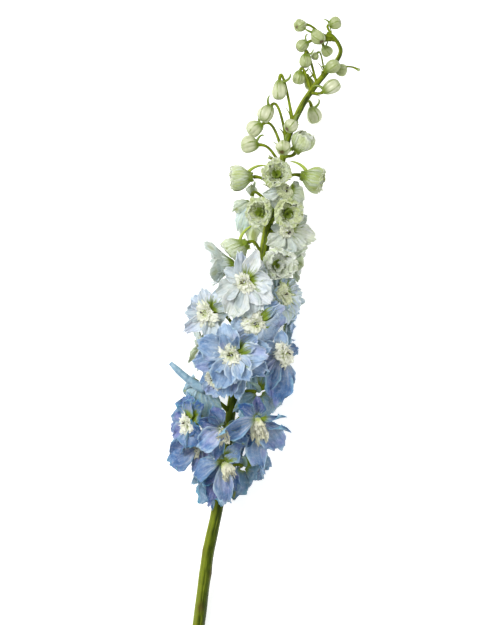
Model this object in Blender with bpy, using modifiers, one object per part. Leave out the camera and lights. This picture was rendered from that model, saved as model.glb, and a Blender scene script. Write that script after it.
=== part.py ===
"""A cut delphinium flower spike, lying on its side on a flat surface.

The stem runs along +Y with its cut end at -Y, +X is to its right and +Z points up from the surface.
Sizes and places below are in millimetres, and are turned into metres where a mesh is made.
"""

import math
import random
from collections import namedtuple

import bmesh
import bpy
import numpy as np
from mathutils import Vector
from mathutils.bvhtree import BVHTree

MM = 0.001

# Driving dimensions: petals and the gaps round them
SEPAL_THICKNESS = 0.9
GAP = 0.32
STALK_GAP = 0.45
LONGER_STALKS = {"bloom_13": 0.4}
WALL = SEPAL_THICKNESS / 2 + GAP / 2 + 0.05

# An open flower: its foot, the disc that its sepals grow from, and their shape against their length
HUB_RADII = (1.7, 2.9)
OPEN_DEPTH = 4.5
DISC_HEIGHT = -1.4
DISC_DIP = 0.5
SEPAL_FOOT = 2.6
SEPAL_FULLNESS = 0.385
SEPAL_WIDEST = 0.58
SEPAL_FOLD = 0.35
SEPAL_WAVE = 0.05
SEPAL_ROWS = (0.55, 1.0)
BEND_STEPS = 8

# Spurs, stalks and the stem's cut end
SPUR_RADII = (2.1, 1.6, 0.8)
SPUR_SMALLEST_BUD = 6.5
SPUR_FULL_BUD = 11.0
STALK_RADIUS = 1.15
BUD_STALK_RADIUS = 0.85
SHOOT_SIZE = 4.0
SHOOT_STALK_RADIUS = 0.7
LONG_STALK = 34.0
STALK_START = 40.0
CUT_SLANT = 35.0
CUTTER_SIZE = 60.0

# How softly petals bend away from the surface and from the next flower, and how they lie over each other
FLOOR_SOFTNESS = 3.5
NEIGHBOUR_SOFTNESS = 2.5
OVERLAP_TILT = 55.0
GUARD = 6.5
NEAR = 60.0
SEED = 7

# The stem's middle line from the cut end to the tip: x, y, height above the surface, radius
STEM_ROUTE = [
    (-57.2, -256.8, 4.35, 4.9),
    (-53.2, -228.8, 8.6, 4.8),
    (-46.4, -176.8, 15.8, 4.7),
    (-38.4, -136.8, 21.6, 4.6),
    (-32.0, -92.8, 26.6, 4.4),
    (-26.4, -52.8, 30.0, 4.1),
    (-15.5, -0.8, 32.6, 3.7),
    (-2.4, 61.6, 34.2, 3.3),
    (3.0, 92.4, 34.4, 3.1),
    (12.8, 139.2, 34.0, 2.9),
    (20.0, 165.6, 33.4, 2.8),
    (29.6, 187.2, 32.8, 2.8),
    (39.2, 201.6, 32.2, 2.7),
    (48.8, 213.6, 31.6, 2.5),
    (56.8, 222.4, 31.2, 2.2),
    (60.8, 230.4, 31.0, 2.0),
    (59.2, 236.8, 31.2, 1.9),
    (54.4, 243.2, 31.6, 1.7),
    (49.6, 245.6, 32.2, 1.4),
]

# Each flower head: where its middle is, the way it faces (turn in the plan, 0 along +X, and lift above
# the horizon), a roll about that way, its size (an open sepal's length, or half a bud's), its sepals, and
# a bud's width against its length
Head = namedtuple("Head", "name kind x y z turn lift roll size petals plump", defaults=[0.86])

HEADS = [
    Head("bloom_01", "open", -17.0, -104.0, 31, -50, -48, 25, 20.0, 5),
    Head("bloom_02", "open", -48.0, -114.0, 27, 232, -22, 0, 22.0, 5),
    Head("bloom_03", "open", -34.0, -97.0, 60, -48, 30, 5, 25.0, 7),
    Head("bloom_04", "open", -51.0, -84.0, 43, 212, 30, -10, 20.0, 6),
    Head("bloom_05", "open", -33.0, -70.0, 68, 268, 52, 40, 22.0, 6),
    Head("bloom_06", "open", -60.0, -67.0, 50, 178, 30, 20, 23.0, 6),
    Head("bloom_07", "open", -6.0, -62.0, 60, -88, 39, -24, 26.0, 7),
    Head("bloom_08", "open", -51.0, -36.5, 43, 322, -20, 6, 23.0, 5),
    Head("bloom_09", "open", -5.0, -43.0, 46, -20, -40, 35, 25.0, 5),
    Head("bloom_10", "open", -38.0, -29.0, 54, 212, 46, 30, 20.0, 6),
    Head("bloom_11", "open", -26.0, -12.0, 72, 218, 78, 0, 29.0, 7),
    Head("bloom_12", "open", 13.0, -11.0, 54, 8, 34, 15, 25.0, 6),
    Head("bloom_13", "open", -50.0, -4.0, 38, 172, -8, -24, 21.0, 5),
    Head("bloom_14", "open", -8.5, 13.0, 66, -40, 74, 25, 28.0, 7),
    Head("bloom_15", "open", 17.0, 10.0, 19, -12, -6, 20, 22.0, 5),
    Head("bloom_16", "open", -44.0, 21.5, 52, 190, 40, -20, 24.0, 6),
    Head("bloom_17", "open", 13.0, 35.0, 54, 10, 42, -15, 23.0, 6),
    Head("bloom_18", "open", -16.0, 45.5, 68, 205, 72, 10, 28.0, 7),
    Head("bloom_19", "open", 17.0, 87.0, 50, -52, 56, 10, 21.0, 6),
    Head("bloom_20", "open", -15.0, 113.0, 20, 256, -36, 0, 22.0, 5),
    Head("bloom_21", "open", 16.0, 118.0, 48, 30, 70, 20, 17.0, 6),
    Head("bell_1", "bell", -33.0, 60.0, 43, 184, -2, 0, 18.5, 6),
    Head("bell_2", "bell", 22.0, 62.0, 38, -14, 0, 20, 15.0, 6),
    Head("rosette_1", "rosette", 9.5, 58.5, 58, -10, 68, 0, 16.5, 8),
    Head("rosette_2", "rosette", -3.0, 101.0, 55, 190, 68, 30, 13.5, 8),
    Head("rosette_3", "rosette", 17.5, 99.5, 59, -10, 74, 0, 14.0, 8),
    Head("rosette_4", "rosette", 9.5, 130.5, 53, 100, 80, 0, 13.5, 8),
    Head("cup_1", "cup", -22.5, 71.5, 43, 212, 4, 15, 17.5, 6),
    Head("cup_2", "cup", -18.0, 129.0, 42, 184, 6, 0, 15.0, 6),
    Head("cup_3", "cup", 37.0, 128.5, 40, -16, 8, 0, 15.5, 6),
    Head("cup_4", "cup", 28.5, 156.0, 42, 58, 18, 0, 14.5, 6),
    Head("bud_1", "bud", 14.5, 152.5, 48, 255, 48, 0, 7.0, 0),
    Head("bud_2", "bud", 21.0, 170.0, 43, 216, 34, 0, 6.6, 0),
    Head("bud_3", "bud", -12.5, 155.0, 38, 184, 4, 0, 8.2, 0, 0.86),
    Head("bud_4", "bud", -8.0, 168.5, 31, 214, -6, 0, 7.8, 0, 0.86),
    Head("bud_5", "bud", 1.0, 180.0, 43, 238, 12, 0, 8.4, 0, 0.76),
    Head("bud_6", "bud", 11.0, 199.0, 38, 266, 4, 0, 9.2, 0, 0.64),
    Head("bud_7", "bud", 39.5, 181.5, 5.4, -78, -6, 0, 8.0, 0, 0.76),
    Head("bud_8", "bud", 53.5, 201.5, 38, 28, 6, 0, 8.8, 0, 0.66),
    Head("under_1", "open", -56.0, -84.0, 12.5, 198, -14, 20, 18.0, 5),
    Head("under_2", "open", -22.0, -90.0, 12.5, -20, -14, 20, 18.0, 5),
    Head("under_3", "open", -46.0, -22.0, 12.5, 198, -14, 20, 18.0, 5),
    Head("under_4", "open", -8.0, -26.0, 12.5, -18, -14, 20, 18.0, 5),
    Head("under_5", "open", -14.0, 33.0, 12.5, 215, -20, 20, 19.0, 5),
]

# Small buds and bare stalks near the tip stay one piece with the stem
TIP_HEADS = [
    Head("tip_1", "bud", 28.5, 251.0, 36, 200, 44, 0, 5.8, 0, 0.92),
    Head("tip_2", "bud", 56.5, 253.0, 34, 10, 16, 0, 5.8, 0, 0.9),
    Head("tip_3", "bud", 49.5, 231.5, 27, -60, -10, 0, 5.4, 0),
    Head("tip_4", "bud", 27.0, 210.0, 30, 256, -6, 0, 6.6, 0, 0.8),
    Head("tip_5", "bud", 35.5, 206.0, 22, 282, -14, 0, 6.0, 0, 0.7),
    Head("tip_6", "bud", 40.0, 227.0, 33, 236, 20, 0, 3.6, 0, 0.92),
    Head("tip_7", "bud", 61.0, 215.5, 32, -20, -10, 0, 5.8, 0),
    Head("tip_8", "bud", 75.0, 216.0, 33, -32, 0, 0, 1.6, 0),
    Head("tip_9", "bud", 3.5, 145.0, 38, 160, 20, 0, 1.3, 0),
    Head("tip_10", "bud", 54.0, 217.5, 42, 24, 26, 0, 7.4, 0, 0.74),
    Head("tip_11", "bud", 32.0, 222.5, 40, 266, 12, 0, 6.6, 0, 0.76),
    Head("tip_12", "bud", 30.0, 234.5, 39, 214, 14, 0, 6.4, 0, 0.76),
    Head("tip_13", "bud", 42.5, 241.5, 41, -56, 34, 0, 7.6, 0, 0.74),
]

# A half-open flower's radius, its length and how far it closes, against its size
CUP_SHAPES = {"bell": (0.7, 1.15, 0.52), "cup": (0.64, 1.3, 0.70), "rosette": (0.86, 1.1, 0.76)}
CUP_ROWS = 3

# The bee, the tuft in an open flower's middle: radius and height of each ring from its foot to its centre
BEE_RINGS = [(0.0, -0.5), (2.4, 1.4), (8.0, 6.0), (5.4, 8.4), (0.0, 5.8)]
BEE_TEETH = 5

COLOURS = {
    "stem_green": ((0.20, 0.30, 0.05), 0.45),
    "sepal_blue": ((0.36, 0.48, 0.80), 0.55),
    "sepal_pale": ((0.55, 0.66, 0.86), 0.55),
    "sepal_white": ((0.80, 0.83, 0.88), 0.55),
    "cup_green": ((0.66, 0.72, 0.52), 0.55),
    "bud_green": ((0.60, 0.67, 0.42), 0.5),
    "bee_cream": ((0.84, 0.80, 0.60), 0.7),
}


def unit(vector):
    """The vector at length one."""
    return vector / np.linalg.norm(vector)


def smooth_route(points, per_span):
    """A Catmull-Rom curve through the points, with per_span steps between each two."""
    points = np.array(points, float)
    ends = np.vstack([2 * points[0] - points[1], points, 2 * points[-1] - points[-2]])
    found = []
    for index in range(1, len(ends) - 2):
        before, start, end, after = ends[index - 1 : index + 3]
        for step in np.arange(per_span) / per_span:
            turn = 2 * start + (end - before) * step
            turn = turn + (2 * before - 5 * start + 4 * end - after) * step**2
            turn = turn + (3 * start - before - 3 * end + after) * step**3
            found.append(turn / 2)
    return np.vstack([found, points[-1]])


STEM = smooth_route(STEM_ROUTE, 6)
STEM_LINE = STEM[:, :3]
STEM_RADIUS = STEM[:, 3]
STEM_WAY = np.gradient(STEM_LINE, axis=0)
STEM_WAY /= np.linalg.norm(STEM_WAY, axis=1)[:, None]
STEM_LENGTH = np.concatenate([[0], np.cumsum(np.linalg.norm(np.diff(STEM_LINE, axis=0), axis=1))])


def stem_at(length):
    """The stem's middle line and its way at a length from the cut end."""
    place = np.array([np.interp(length, STEM_LENGTH, STEM_LINE[:, axis]) for axis in range(3)])
    way = np.array([np.interp(length, STEM_LENGTH, STEM_WAY[:, axis]) for axis in range(3)])
    return place, unit(way)


def nearest_on_stem(place):
    """The length along the stem nearest a place, and the distance to it."""
    distance = np.linalg.norm(STEM_LINE - place, axis=1)
    index = int(np.argmin(distance))
    return STEM_LENGTH[index], distance[index]


def middle_of(head):
    """The head's middle as a vector."""
    return np.array([head.x, head.y, head.z], float)


def axes_of(head):
    """The way the head faces, and its side and up ways. Up leans towards the stem's tip, then rolls."""
    turn = math.radians(head.turn)
    lift = math.radians(head.lift)
    face = np.array([math.cos(turn) * math.cos(lift), math.sin(turn) * math.cos(lift), math.sin(lift)])
    length, _ = nearest_on_stem(middle_of(head))
    _, way = stem_at(length)
    up = way - face * (way @ face)
    if np.linalg.norm(up) < 0.25:
        up = np.array([0.0, 0.0, 1.0]) - face * face[2]
    up = unit(up)
    side = np.cross(up, face)
    roll = math.radians(head.roll)
    return face, side * math.cos(roll) + up * math.sin(roll), up * math.cos(roll) - side * math.sin(roll)


def base_of(head):
    """Where the stalk meets the head."""
    face, _, _ = axes_of(head)
    if head.kind == "open":
        depth = OPEN_DEPTH
    elif head.kind == "bud":
        depth = head.size
    else:
        depth = CUP_SHAPES[head.kind][1] * head.size / 2
    return middle_of(head) - face * depth


def stalk_route(head, count):
    """The stalk's line, rising from the stem and arriving from behind the head."""
    face, _, _ = axes_of(head)
    end = base_of(head) - face * (STALK_GAP - LONGER_STALKS.get(head.name, 0))
    near, distance = nearest_on_stem(end)
    start, way = stem_at(max(near - 0.55 * distance, STALK_START))
    out = end - start
    out = out - way * (out @ way)
    span = np.linalg.norm(end - start)
    first = start + unit(unit(out) + 0.7 * way) * span * 0.42
    second = end - face * span * 0.36
    steps = np.linspace(0, 1, count)[:, None]
    route = (1 - steps) ** 3 * start + 3 * (1 - steps) ** 2 * steps * first
    return route + 3 * (1 - steps) * steps**2 * second + steps**3 * end


def spur_route(head, count):
    """The spur's line, from the upper back of the head backwards and up, curving down at its end."""
    face, _, up = axes_of(head)
    if head.kind == "open":
        start = middle_of(head) - face * 1.6 + up * 1.8
        length = head.size * 0.55
        lift = head.size * 0.2
    else:
        start = base_of(head) + face * head.size * 0.3 + up * head.size * 0.28
        length = head.size * 0.95
        lift = head.size * 0.3
    steps = np.linspace(0, 1, count)[:, None]
    rise = np.sin(steps * math.pi * 0.62)
    return start - face * length * steps + up * lift * rise


def outward_of(head):
    """The way from the stem to the head, square to the stem."""
    length, _ = nearest_on_stem(middle_of(head))
    place, way = stem_at(length)
    apart = middle_of(head) - place
    return unit(apart - way * (apart @ way))


def over_rank(head):
    """Heads further out from the stem lie over those further in."""
    _, distance = nearest_on_stem(middle_of(head))
    return distance + 0.2 * head.z


def reach_of(head):
    """How far the head's petals reach from its middle."""
    return head.size if head.kind == "open" else head.size * 1.05


def walls_for(head):
    """Planes that keep this head clear of its neighbours: a point on each and its inward normal."""
    walls = []
    middle = middle_of(head)
    for other in HEADS:
        if other.name == head.name:
            continue
        theirs = middle_of(other)
        apart = middle - theirs
        distance = np.linalg.norm(apart)
        if distance > reach_of(head) + reach_of(other) + 1.0:
            continue
        share = reach_of(other) / (reach_of(head) + reach_of(other))
        point = theirs + apart * share
        across = apart / distance
        outward = outward_of(head) + outward_of(other)
        outward = outward - across * (outward @ across)
        if head.kind == other.kind == "open" and np.linalg.norm(outward) > 0.6:
            tilt = math.radians(OVERLAP_TILT)
            outward = unit(outward)
            over = over_rank(head) > over_rank(other)
            normal = across * math.cos(tilt) + outward * math.sin(tilt) * (1 if over else -1)
            walls.append((point, normal))
            if not over:
                walls.append((theirs + across * GUARD, across))
        else:
            walls.append((point, across))
    return walls


def pressed(depth, softness):
    """A depth inside a wall, bent smoothly so that it never goes below zero."""
    if softness <= 0 or depth >= softness:
        return max(depth, 0.0)
    if depth <= -softness:
        return 0.0
    return (depth + softness) ** 2 / (4 * softness)


def confine(point, walls, clear=WALL):
    """The point moved inside the head's own room, off the stem and above the surface."""
    for softness in (NEIGHBOUR_SOFTNESS, 0, 0, 0):
        for place, normal in walls:
            depth = (point - place) @ normal - clear
            point = point + normal * (pressed(depth, softness) - depth)
        length, distance = nearest_on_stem(point)
        place, _ = stem_at(length)
        keep = np.interp(length, STEM_LENGTH, STEM_RADIUS) + clear + GAP
        if distance < keep:
            point = place + unit(point - place) * keep
        floor = SEPAL_THICKNESS / 2
        softness = FLOOR_SOFTNESS if softness else 0
        point = np.array([point[0], point[1], floor + pressed(point[2] - floor, softness)])
    return point


def new_object(name, mesh, collection):
    """An object for the mesh, in the collection."""
    obj = bpy.data.objects.new(name, mesh)
    collection.objects.link(obj)
    return obj


def applied(obj):
    """The object's mesh with its modifiers applied."""
    graph = bpy.context.evaluated_depsgraph_get()
    mesh = bpy.data.meshes.new_from_object(obj.evaluated_get(graph))
    obj.modifiers.clear()
    obj.data = mesh
    return obj


def sepal_outline(along):
    """A sepal's half width against its widest: a narrow foot, a broad blade and a blunt tip."""
    if along < SEPAL_WIDEST:
        return 0.1 + 0.9 * math.sin(math.pi / 2 * along / SEPAL_WIDEST) ** 1.6
    return math.sqrt(1 - 0.8 * ((along - SEPAL_WIDEST) / (1 - SEPAL_WIDEST)) ** 2)


def open_sepal(along, across, length, first_rise, last_rise, fold):
    """A point of an open sepal: distance out, distance across and height over the face."""
    out = SEPAL_FOOT
    height = 0.0
    step = length * along / BEND_STEPS
    for number in range(BEND_STEPS):
        share = along * (number + 0.5) / BEND_STEPS
        rise = math.radians(first_rise + (last_rise - first_rise) * share**0.8)
        out += math.cos(rise) * step
        height += math.sin(rise) * step
    half = length * SEPAL_FULLNESS * sepal_outline(along)
    height += SEPAL_FOLD * fold * across**2 * half
    height += SEPAL_WAVE * length * math.sin(3 * along + 2 * across) * abs(across) * along
    return out - 0.04 * length * across**2 * along, half * across, height


def cup_wall(along, turn, size, kind):
    """A point of a half-open flower's wall of five lobes: its radius and its height from the base."""
    radius, length, closing = CUP_SHAPES[kind]
    lobe = math.cos(5 * turn) * along
    swell = math.sin(math.pi * closing * along)
    return size * radius * swell * (1 + 0.07 * lobe), size * length * along * (1 + 0.06 * lobe)


def inner_sepal(along, across, size, kind):
    """A point of a small sepal curled inside a half-open flower."""
    radius, length, _ = CUP_SHAPES[kind]
    swell = math.sin(math.pi * (0.08 + 0.5 * along))
    half = size * radius * 0.42 * sepal_outline(along)
    return size * radius * 0.62 * swell - 0.5 * abs(across), half * across, size * length * 0.86 * along


def thickened(obj):
    """The open sheet as a closed blade of the sepals' thickness."""
    wall = obj.modifiers.new("Thickness", "SOLIDIFY")
    wall.thickness = SEPAL_THICKNESS * MM
    wall.offset = 0
    return applied(obj)


def blade(name, shape, measures, place, collection):
    """A thin closed blade: shape gives a point for along and across, and place sets it in the world."""
    mesh = bpy.data.meshes.new(name)
    build = bmesh.new()
    bmesh.ops.create_grid(build, x_segments=1, y_segments=2, size=1.0)
    bmesh.ops.triangulate(build, faces=build.faces[:], quad_method="FIXED")
    for vertex in build.verts:
        along = (vertex.co.y + 1) / 2
        vertex.co = Vector(place(*shape(along, vertex.co.x, *measures)) * MM)
    build.to_mesh(mesh)
    build.free()
    return thickened(new_object(name, mesh, collection))


def tube(name, route, radii, collection, sides=1, extra=0.0):
    """A closed tube along the route. Its radii follow the route, and extra widens all of it."""
    curve = bpy.data.curves.new(name, "CURVE")
    curve.dimensions = "3D"
    curve.bevel_depth = MM
    curve.bevel_resolution = sides
    curve.use_fill_caps = True
    spline = curve.splines.new("POLY")
    spline.points.add(len(route) - 1)
    for point, place, radius in zip(spline.points, route, radii):
        point.co = (*(place * MM), 1.0)
        point.radius = radius + extra
    guide = new_object(name + ".line", curve, collection)
    bpy.context.view_layer.update()
    graph = bpy.context.evaluated_depsgraph_get()
    mesh = bpy.data.meshes.new_from_object(guide.evaluated_get(graph))
    bpy.data.objects.remove(guide)
    welded = bmesh.new()
    welded.from_mesh(mesh)
    bmesh.ops.remove_doubles(welded, verts=welded.verts[:], dist=1e-6)
    bmesh.ops.recalc_face_normals(welded, faces=welded.faces[:])
    welded.to_mesh(mesh)
    welded.free()
    return new_object(name, mesh, collection)


def ball(name, middle, axes, sizes, collection, around=8, rings=5):
    """A rounded body from a sphere: sizes along the axes, drawn to a blunt point at its front."""
    mesh = bpy.data.meshes.new(name)
    build = bmesh.new()
    bmesh.ops.create_uvsphere(build, u_segments=around, v_segments=rings, radius=1.0)
    for vertex in build.verts:
        waist = 1 - 0.16 * vertex.co.z
        point = middle + axes[0] * vertex.co.z * sizes[0]
        point = point + (axes[1] * vertex.co.x + axes[2] * vertex.co.y) * sizes[1] * waist
        vertex.co = Vector(point * MM)
    bmesh.ops.recalc_face_normals(build, faces=build.faces[:])
    build.to_mesh(mesh)
    build.free()
    return new_object(name, mesh, collection)


def hub(head, collection):
    """The five-sided foot behind an open flower's sepals, where its stalk meets it."""
    face, side, up = axes_of(head)
    mesh = bpy.data.meshes.new(head.name + ".hub")
    build = bmesh.new()
    depth = OPEN_DEPTH + DISC_HEIGHT
    bmesh.ops.create_cone(
        build, cap_ends=True, segments=5, radius1=HUB_RADII[0], radius2=HUB_RADII[1], depth=depth
    )
    for vertex in build.verts:
        turn = math.atan2(vertex.co.y, vertex.co.x)
        corner = math.radians(54 + 72 * round((math.degrees(turn) - 54) / 72))
        radius = math.hypot(vertex.co.x, vertex.co.y)
        point = middle_of(head) + face * (vertex.co.z + DISC_HEIGHT - depth / 2)
        point = point + (side * math.cos(corner) + up * math.sin(corner)) * radius
        vertex.co = Vector(point * MM)
    bmesh.ops.recalc_face_normals(build, faces=build.faces[:])
    build.to_mesh(mesh)
    build.free()
    return new_object(head.name + ".hub", mesh, collection)


def is_closed(mesh):
    """True where every edge of the mesh has exactly two faces."""
    build = bmesh.new()
    build.from_mesh(mesh)
    closed = len(build.faces) > 0 and all(len(edge.link_faces) == 2 for edge in build.edges)
    build.free()
    return closed


def with_boolean(obj, operation, others):
    """The object's mesh after a Boolean with the others, by the first solver that leaves it closed."""
    group = bpy.data.collections.new(obj.name + ".others")
    bpy.context.scene.collection.children.link(group)
    for other in others:
        group.objects.link(other)
    change = obj.modifiers.new("Change", "BOOLEAN")
    change.operation = operation
    change.use_self = True
    change.operand_type = "COLLECTION"
    change.collection = group
    for solver in ("EXACT", "MANIFOLD"):
        change.solver = solver
        bpy.context.view_layer.update()
        graph = bpy.context.evaluated_depsgraph_get()
        mesh = bpy.data.meshes.new_from_object(obj.evaluated_get(graph))
        if is_closed(mesh):
            break
    obj.modifiers.clear()
    obj.data = mesh
    bpy.data.collections.remove(group)
    keep_body(obj)


def joined(name, pieces, target):
    """The pieces as one closed body in the target collection, by a Boolean union."""
    body, others = pieces[0], pieces[1:]
    with_boolean(body, "UNION", others)
    for piece in others:
        bpy.data.objects.remove(piece)
    for held in list(body.users_collection):
        held.objects.unlink(body)
    target.objects.link(body)
    body.name = name
    body.data.name = name
    return body


def tree_of(obj):
    """A search tree of the object's faces."""
    build = bmesh.new()
    build.from_mesh(obj.data)
    tree = BVHTree.FromBMesh(build)
    build.free()
    return tree


def keep_body(obj):
    """Keeps the body with the most faces, dropping scraps and sealed hollows, and faces it outwards."""
    build = bmesh.new()
    build.from_mesh(obj.data)
    left = set(build.faces)
    bodies = []
    while left:
        body = [left.pop()]
        for face in body:
            near = [other for edge in face.edges for other in edge.link_faces if other in left]
            left.difference_update(near)
            body.extend(set(near))
        bodies.append(body)
    bodies.sort(key=len)
    scraps = [face for body in bodies[:-1] for face in body]
    bmesh.ops.delete(build, geom=scraps, context="FACES")
    bmesh.ops.recalc_face_normals(build, faces=build.faces[:])
    build.to_mesh(obj.data)
    build.free()


def cut_clear(obj, cutters):
    """Cuts the object where it would cross one of the cutters."""
    for cutter in cutters:
        if tree_of(obj).overlap(tree_of(cutter)):
            with_boolean(obj, "DIFFERENCE", [cutter])


def face_place(head):
    """Turns a sepal's own measures into a place in the world, for a head and an angle round its face."""
    face, side, up = axes_of(head)
    middle = middle_of(head)
    walls = walls_for(head)

    def place_at(angle, start):
        radial = side * math.cos(angle) + up * math.sin(angle)
        across_way = up * math.cos(angle) - side * math.sin(angle)

        def place(out, across, height):
            return confine(middle + radial * out + across_way * across + face * (height + start), walls)

        return place

    return place_at


def sepal_ring(head, place_at, draw):
    """The five broad sepals as one thin body: their feet share corners round a small disc."""
    build = bmesh.new()
    centre = build.verts.new(place_at(0, DISC_HEIGHT - DISC_DIP)(0, 0, 0) * MM)
    corners = []
    for number in range(5):
        place = place_at(math.radians(54 + 72 * number), DISC_HEIGHT)
        corners.append(build.verts.new(place(SEPAL_FOOT, 0, 0) * MM))
    for number in range(5):
        place = place_at(math.radians(90 + 72 * number + draw.uniform(-6, 6)), DISC_HEIGHT)
        length = head.size * draw.uniform(0.93, 1.05)
        measures = (length, draw.uniform(24, 34), draw.uniform(-14, 4), draw.uniform(-0.2, 0.5))
        foot = build.verts.new(place(SEPAL_FOOT, 0, 0) * MM)
        before = [corners[number], foot, corners[(number + 1) % 5]]
        build.faces.new((centre, before[0], before[1]))
        build.faces.new((centre, before[1], before[2]))
        for along in SEPAL_ROWS:
            points = [place(*open_sepal(along, across, *measures)) for across in (-1, 0, 1)]
            after = [build.verts.new(point * MM) for point in points]
            for cell in range(2):
                build.faces.new((before[cell], after[cell], after[cell + 1]))
                build.faces.new((before[cell], after[cell + 1], before[cell + 1]))
            before = after
    mesh = bpy.data.meshes.new(head.name)
    build.to_mesh(mesh)
    build.free()
    return mesh


def open_bloom(head, workshop, draw):
    """An open flower: its spur, its core and a ring of broad sepals with a shorter ring inside."""
    place_at = face_place(head)
    ring = sepal_ring(head, place_at, draw)
    pieces = [thickened(new_object(head.name + ".sepals", ring, workshop)), hub(head, workshop)]
    pieces.append(tube(head.name + ".spur", spur_route(head, 3), SPUR_RADII, workshop, 0))
    for number in range(head.petals - 5):
        angle = math.radians(54 + 144 * number + draw.uniform(-14, 14))
        measures = (head.size * draw.uniform(0.66, 0.76), draw.uniform(44, 50), 14, 0.5)
        place = place_at(angle, -1.2)
        pieces.append(blade(f"{head.name}.inner_{number}", open_sepal, measures, place, workshop))
    return pieces


def half_open_bloom(head, workshop, draw):
    """A half-open flower: a wall of five lobes that still closes over its middle, and curled sepals in it."""
    face, side, up = axes_of(head)
    walls = walls_for(head)
    base = base_of(head) + face * SEPAL_THICKNESS / 2
    build = bmesh.new()
    bmesh.ops.create_circle(build, cap_ends=True, cap_tris=True, segments=10, radius=1 / CUP_ROWS)
    edge = [found for found in build.edges if found.is_boundary]
    for row in range(2, CUP_ROWS + 1):
        grown = bmesh.ops.extrude_edge_only(build, edges=edge)["geom"]
        edge = [item for item in grown if isinstance(item, bmesh.types.BMEdge) and item.is_boundary]
        ring = {vertex for found in edge for vertex in found.verts}
        for vertex in ring:
            vertex.co *= row / (row - 1)
    bmesh.ops.triangulate(build, faces=build.faces[:], quad_method="FIXED")
    for vertex in build.verts:
        turn = math.atan2(vertex.co.y, vertex.co.x)
        out, height = cup_wall(vertex.co.length, turn, head.size, head.kind)
        point = base + face * height + (side * math.sin(-turn) + up * math.cos(turn)) * out
        vertex.co = Vector(confine(point, walls) * MM)
    mesh = bpy.data.meshes.new(head.name)
    build.to_mesh(mesh)
    build.free()
    pieces = [thickened(new_object(head.name + ".wall", mesh, workshop))]
    if head.kind != "rosette":
        pieces.append(tube(head.name + ".spur", spur_route(head, 3), SPUR_RADII, workshop, 0))
    place_at = face_place(head)
    depth = CUP_SHAPES[head.kind][1] * head.size / 2
    for number in range(head.petals - 5):
        angle = math.radians(54 + 120 * number + draw.uniform(-10, 10))
        place = place_at(angle, 0.5 - depth)
        measures = (head.size, head.kind)
        pieces.append(blade(f"{head.name}.inner_{number}", inner_sepal, measures, place, workshop))
    return pieces


def bud(head, workshop):
    """A closed bud and its spur."""
    face, side, up = axes_of(head)
    sizes = (head.size, head.size * head.plump)
    around, rings = (6, 4) if head in TIP_HEADS else (7, 5)
    pieces = [ball(head.name + ".body", middle_of(head), (face, side, up), sizes, workshop, around, rings)]
    if head.size > SPUR_SMALLEST_BUD:
        radii = [radius * head.size / SPUR_FULL_BUD for radius in SPUR_RADII]
        pieces.append(tube(head.name + ".spur", spur_route(head, 3), radii, workshop, 0))
    return pieces


def bee(head, collection):
    """The tuft of small fringed petals in the middle of an open flower: a cup with a toothed rim."""
    face, side, up = axes_of(head)
    walls = walls_for(head)
    scale = min(1.0, head.size / 26)
    build = bmesh.new()
    levels = len(BEE_RINGS) - 1
    bmesh.ops.create_uvsphere(build, u_segments=2 * BEE_TEETH, v_segments=levels, radius=1.0)
    for vertex in build.verts:
        level = levels - round(math.acos(max(-1.0, min(1.0, vertex.co.z))) / math.pi * levels)
        radius, height = BEE_RINGS[level]
        angle = math.atan2(vertex.co.y, vertex.co.x)
        tooth = round(angle / math.pi * BEE_TEETH) % 2
        if level == 2 and tooth:
            radius, height = radius - 1.6, height - 0.8
        point = face * height + (side * math.cos(angle) + up * math.sin(angle)) * radius * scale
        vertex.co = Vector(confine(middle_of(head) + point, walls, GAP) * MM)
    bmesh.ops.recalc_face_normals(build, faces=build.faces[:])
    mesh = bpy.data.meshes.new(head.name + "_bee")
    build.to_mesh(mesh)
    build.free()
    return new_object(head.name + "_bee", mesh, collection)


def stalk_steps(head):
    """How many points a stalk's line needs: more for a long one."""
    _, distance = nearest_on_stem(base_of(head))
    return 5 if distance > LONG_STALK else 4


def stalk_radii(head, count):
    """A stalk's radii, with a slightly wider foot."""
    thick = BUD_STALK_RADIUS if head.kind == "bud" else STALK_RADIUS
    if head.size < SHOOT_SIZE:
        thick = SHOOT_STALK_RADIUS
    steps = np.linspace(0, 1, count)
    return thick * (1.4 - 0.7 * steps + 0.3 * steps**2)


def rooms_of(head, collection):
    """The space that a head's stalk and its spur need round them, cut from the petals that reach in."""
    count = stalk_steps(head)
    route = stalk_route(head, count)
    face, _, _ = axes_of(head)
    route[-1] = base_of(head) - face * 0.05
    stalk = tube(head.name + ".stalk_room", route, stalk_radii(head, count), collection, 0, GAP)
    spur = tube(head.name + ".spur_room", spur_route(head, 3), SPUR_RADII, collection, 0, GAP)
    return stalk, spur


def flower_body(head, workshop, target, draw):
    """A bloom, a half-open flower or a bud as one body."""
    if head.kind == "open":
        pieces = open_bloom(head, workshop, draw)
    elif head.kind in CUP_SHAPES:
        pieces = half_open_bloom(head, workshop, draw)
    else:
        pieces = bud(head, workshop)
    return joined(head.name, pieces, target)


def stem_body(workshop, target):
    """The stem with every stalk, the tip's small buds and its slanting cut end, as one body."""
    pieces = [tube("stem.line", STEM_LINE[::3], STEM_RADIUS[::3], workshop, 2)]
    for head in HEADS + TIP_HEADS:
        count = stalk_steps(head)
        route = stalk_route(head, count)
        if head in TIP_HEADS:
            face, _, _ = axes_of(head)
            route[-1] = route[-1] + face * 1.4
            pieces += bud(head, workshop)
        pieces.append(tube(head.name + ".stalk", route, stalk_radii(head, count), workshop, 0))
    return joined("stem", pieces, target)


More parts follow.
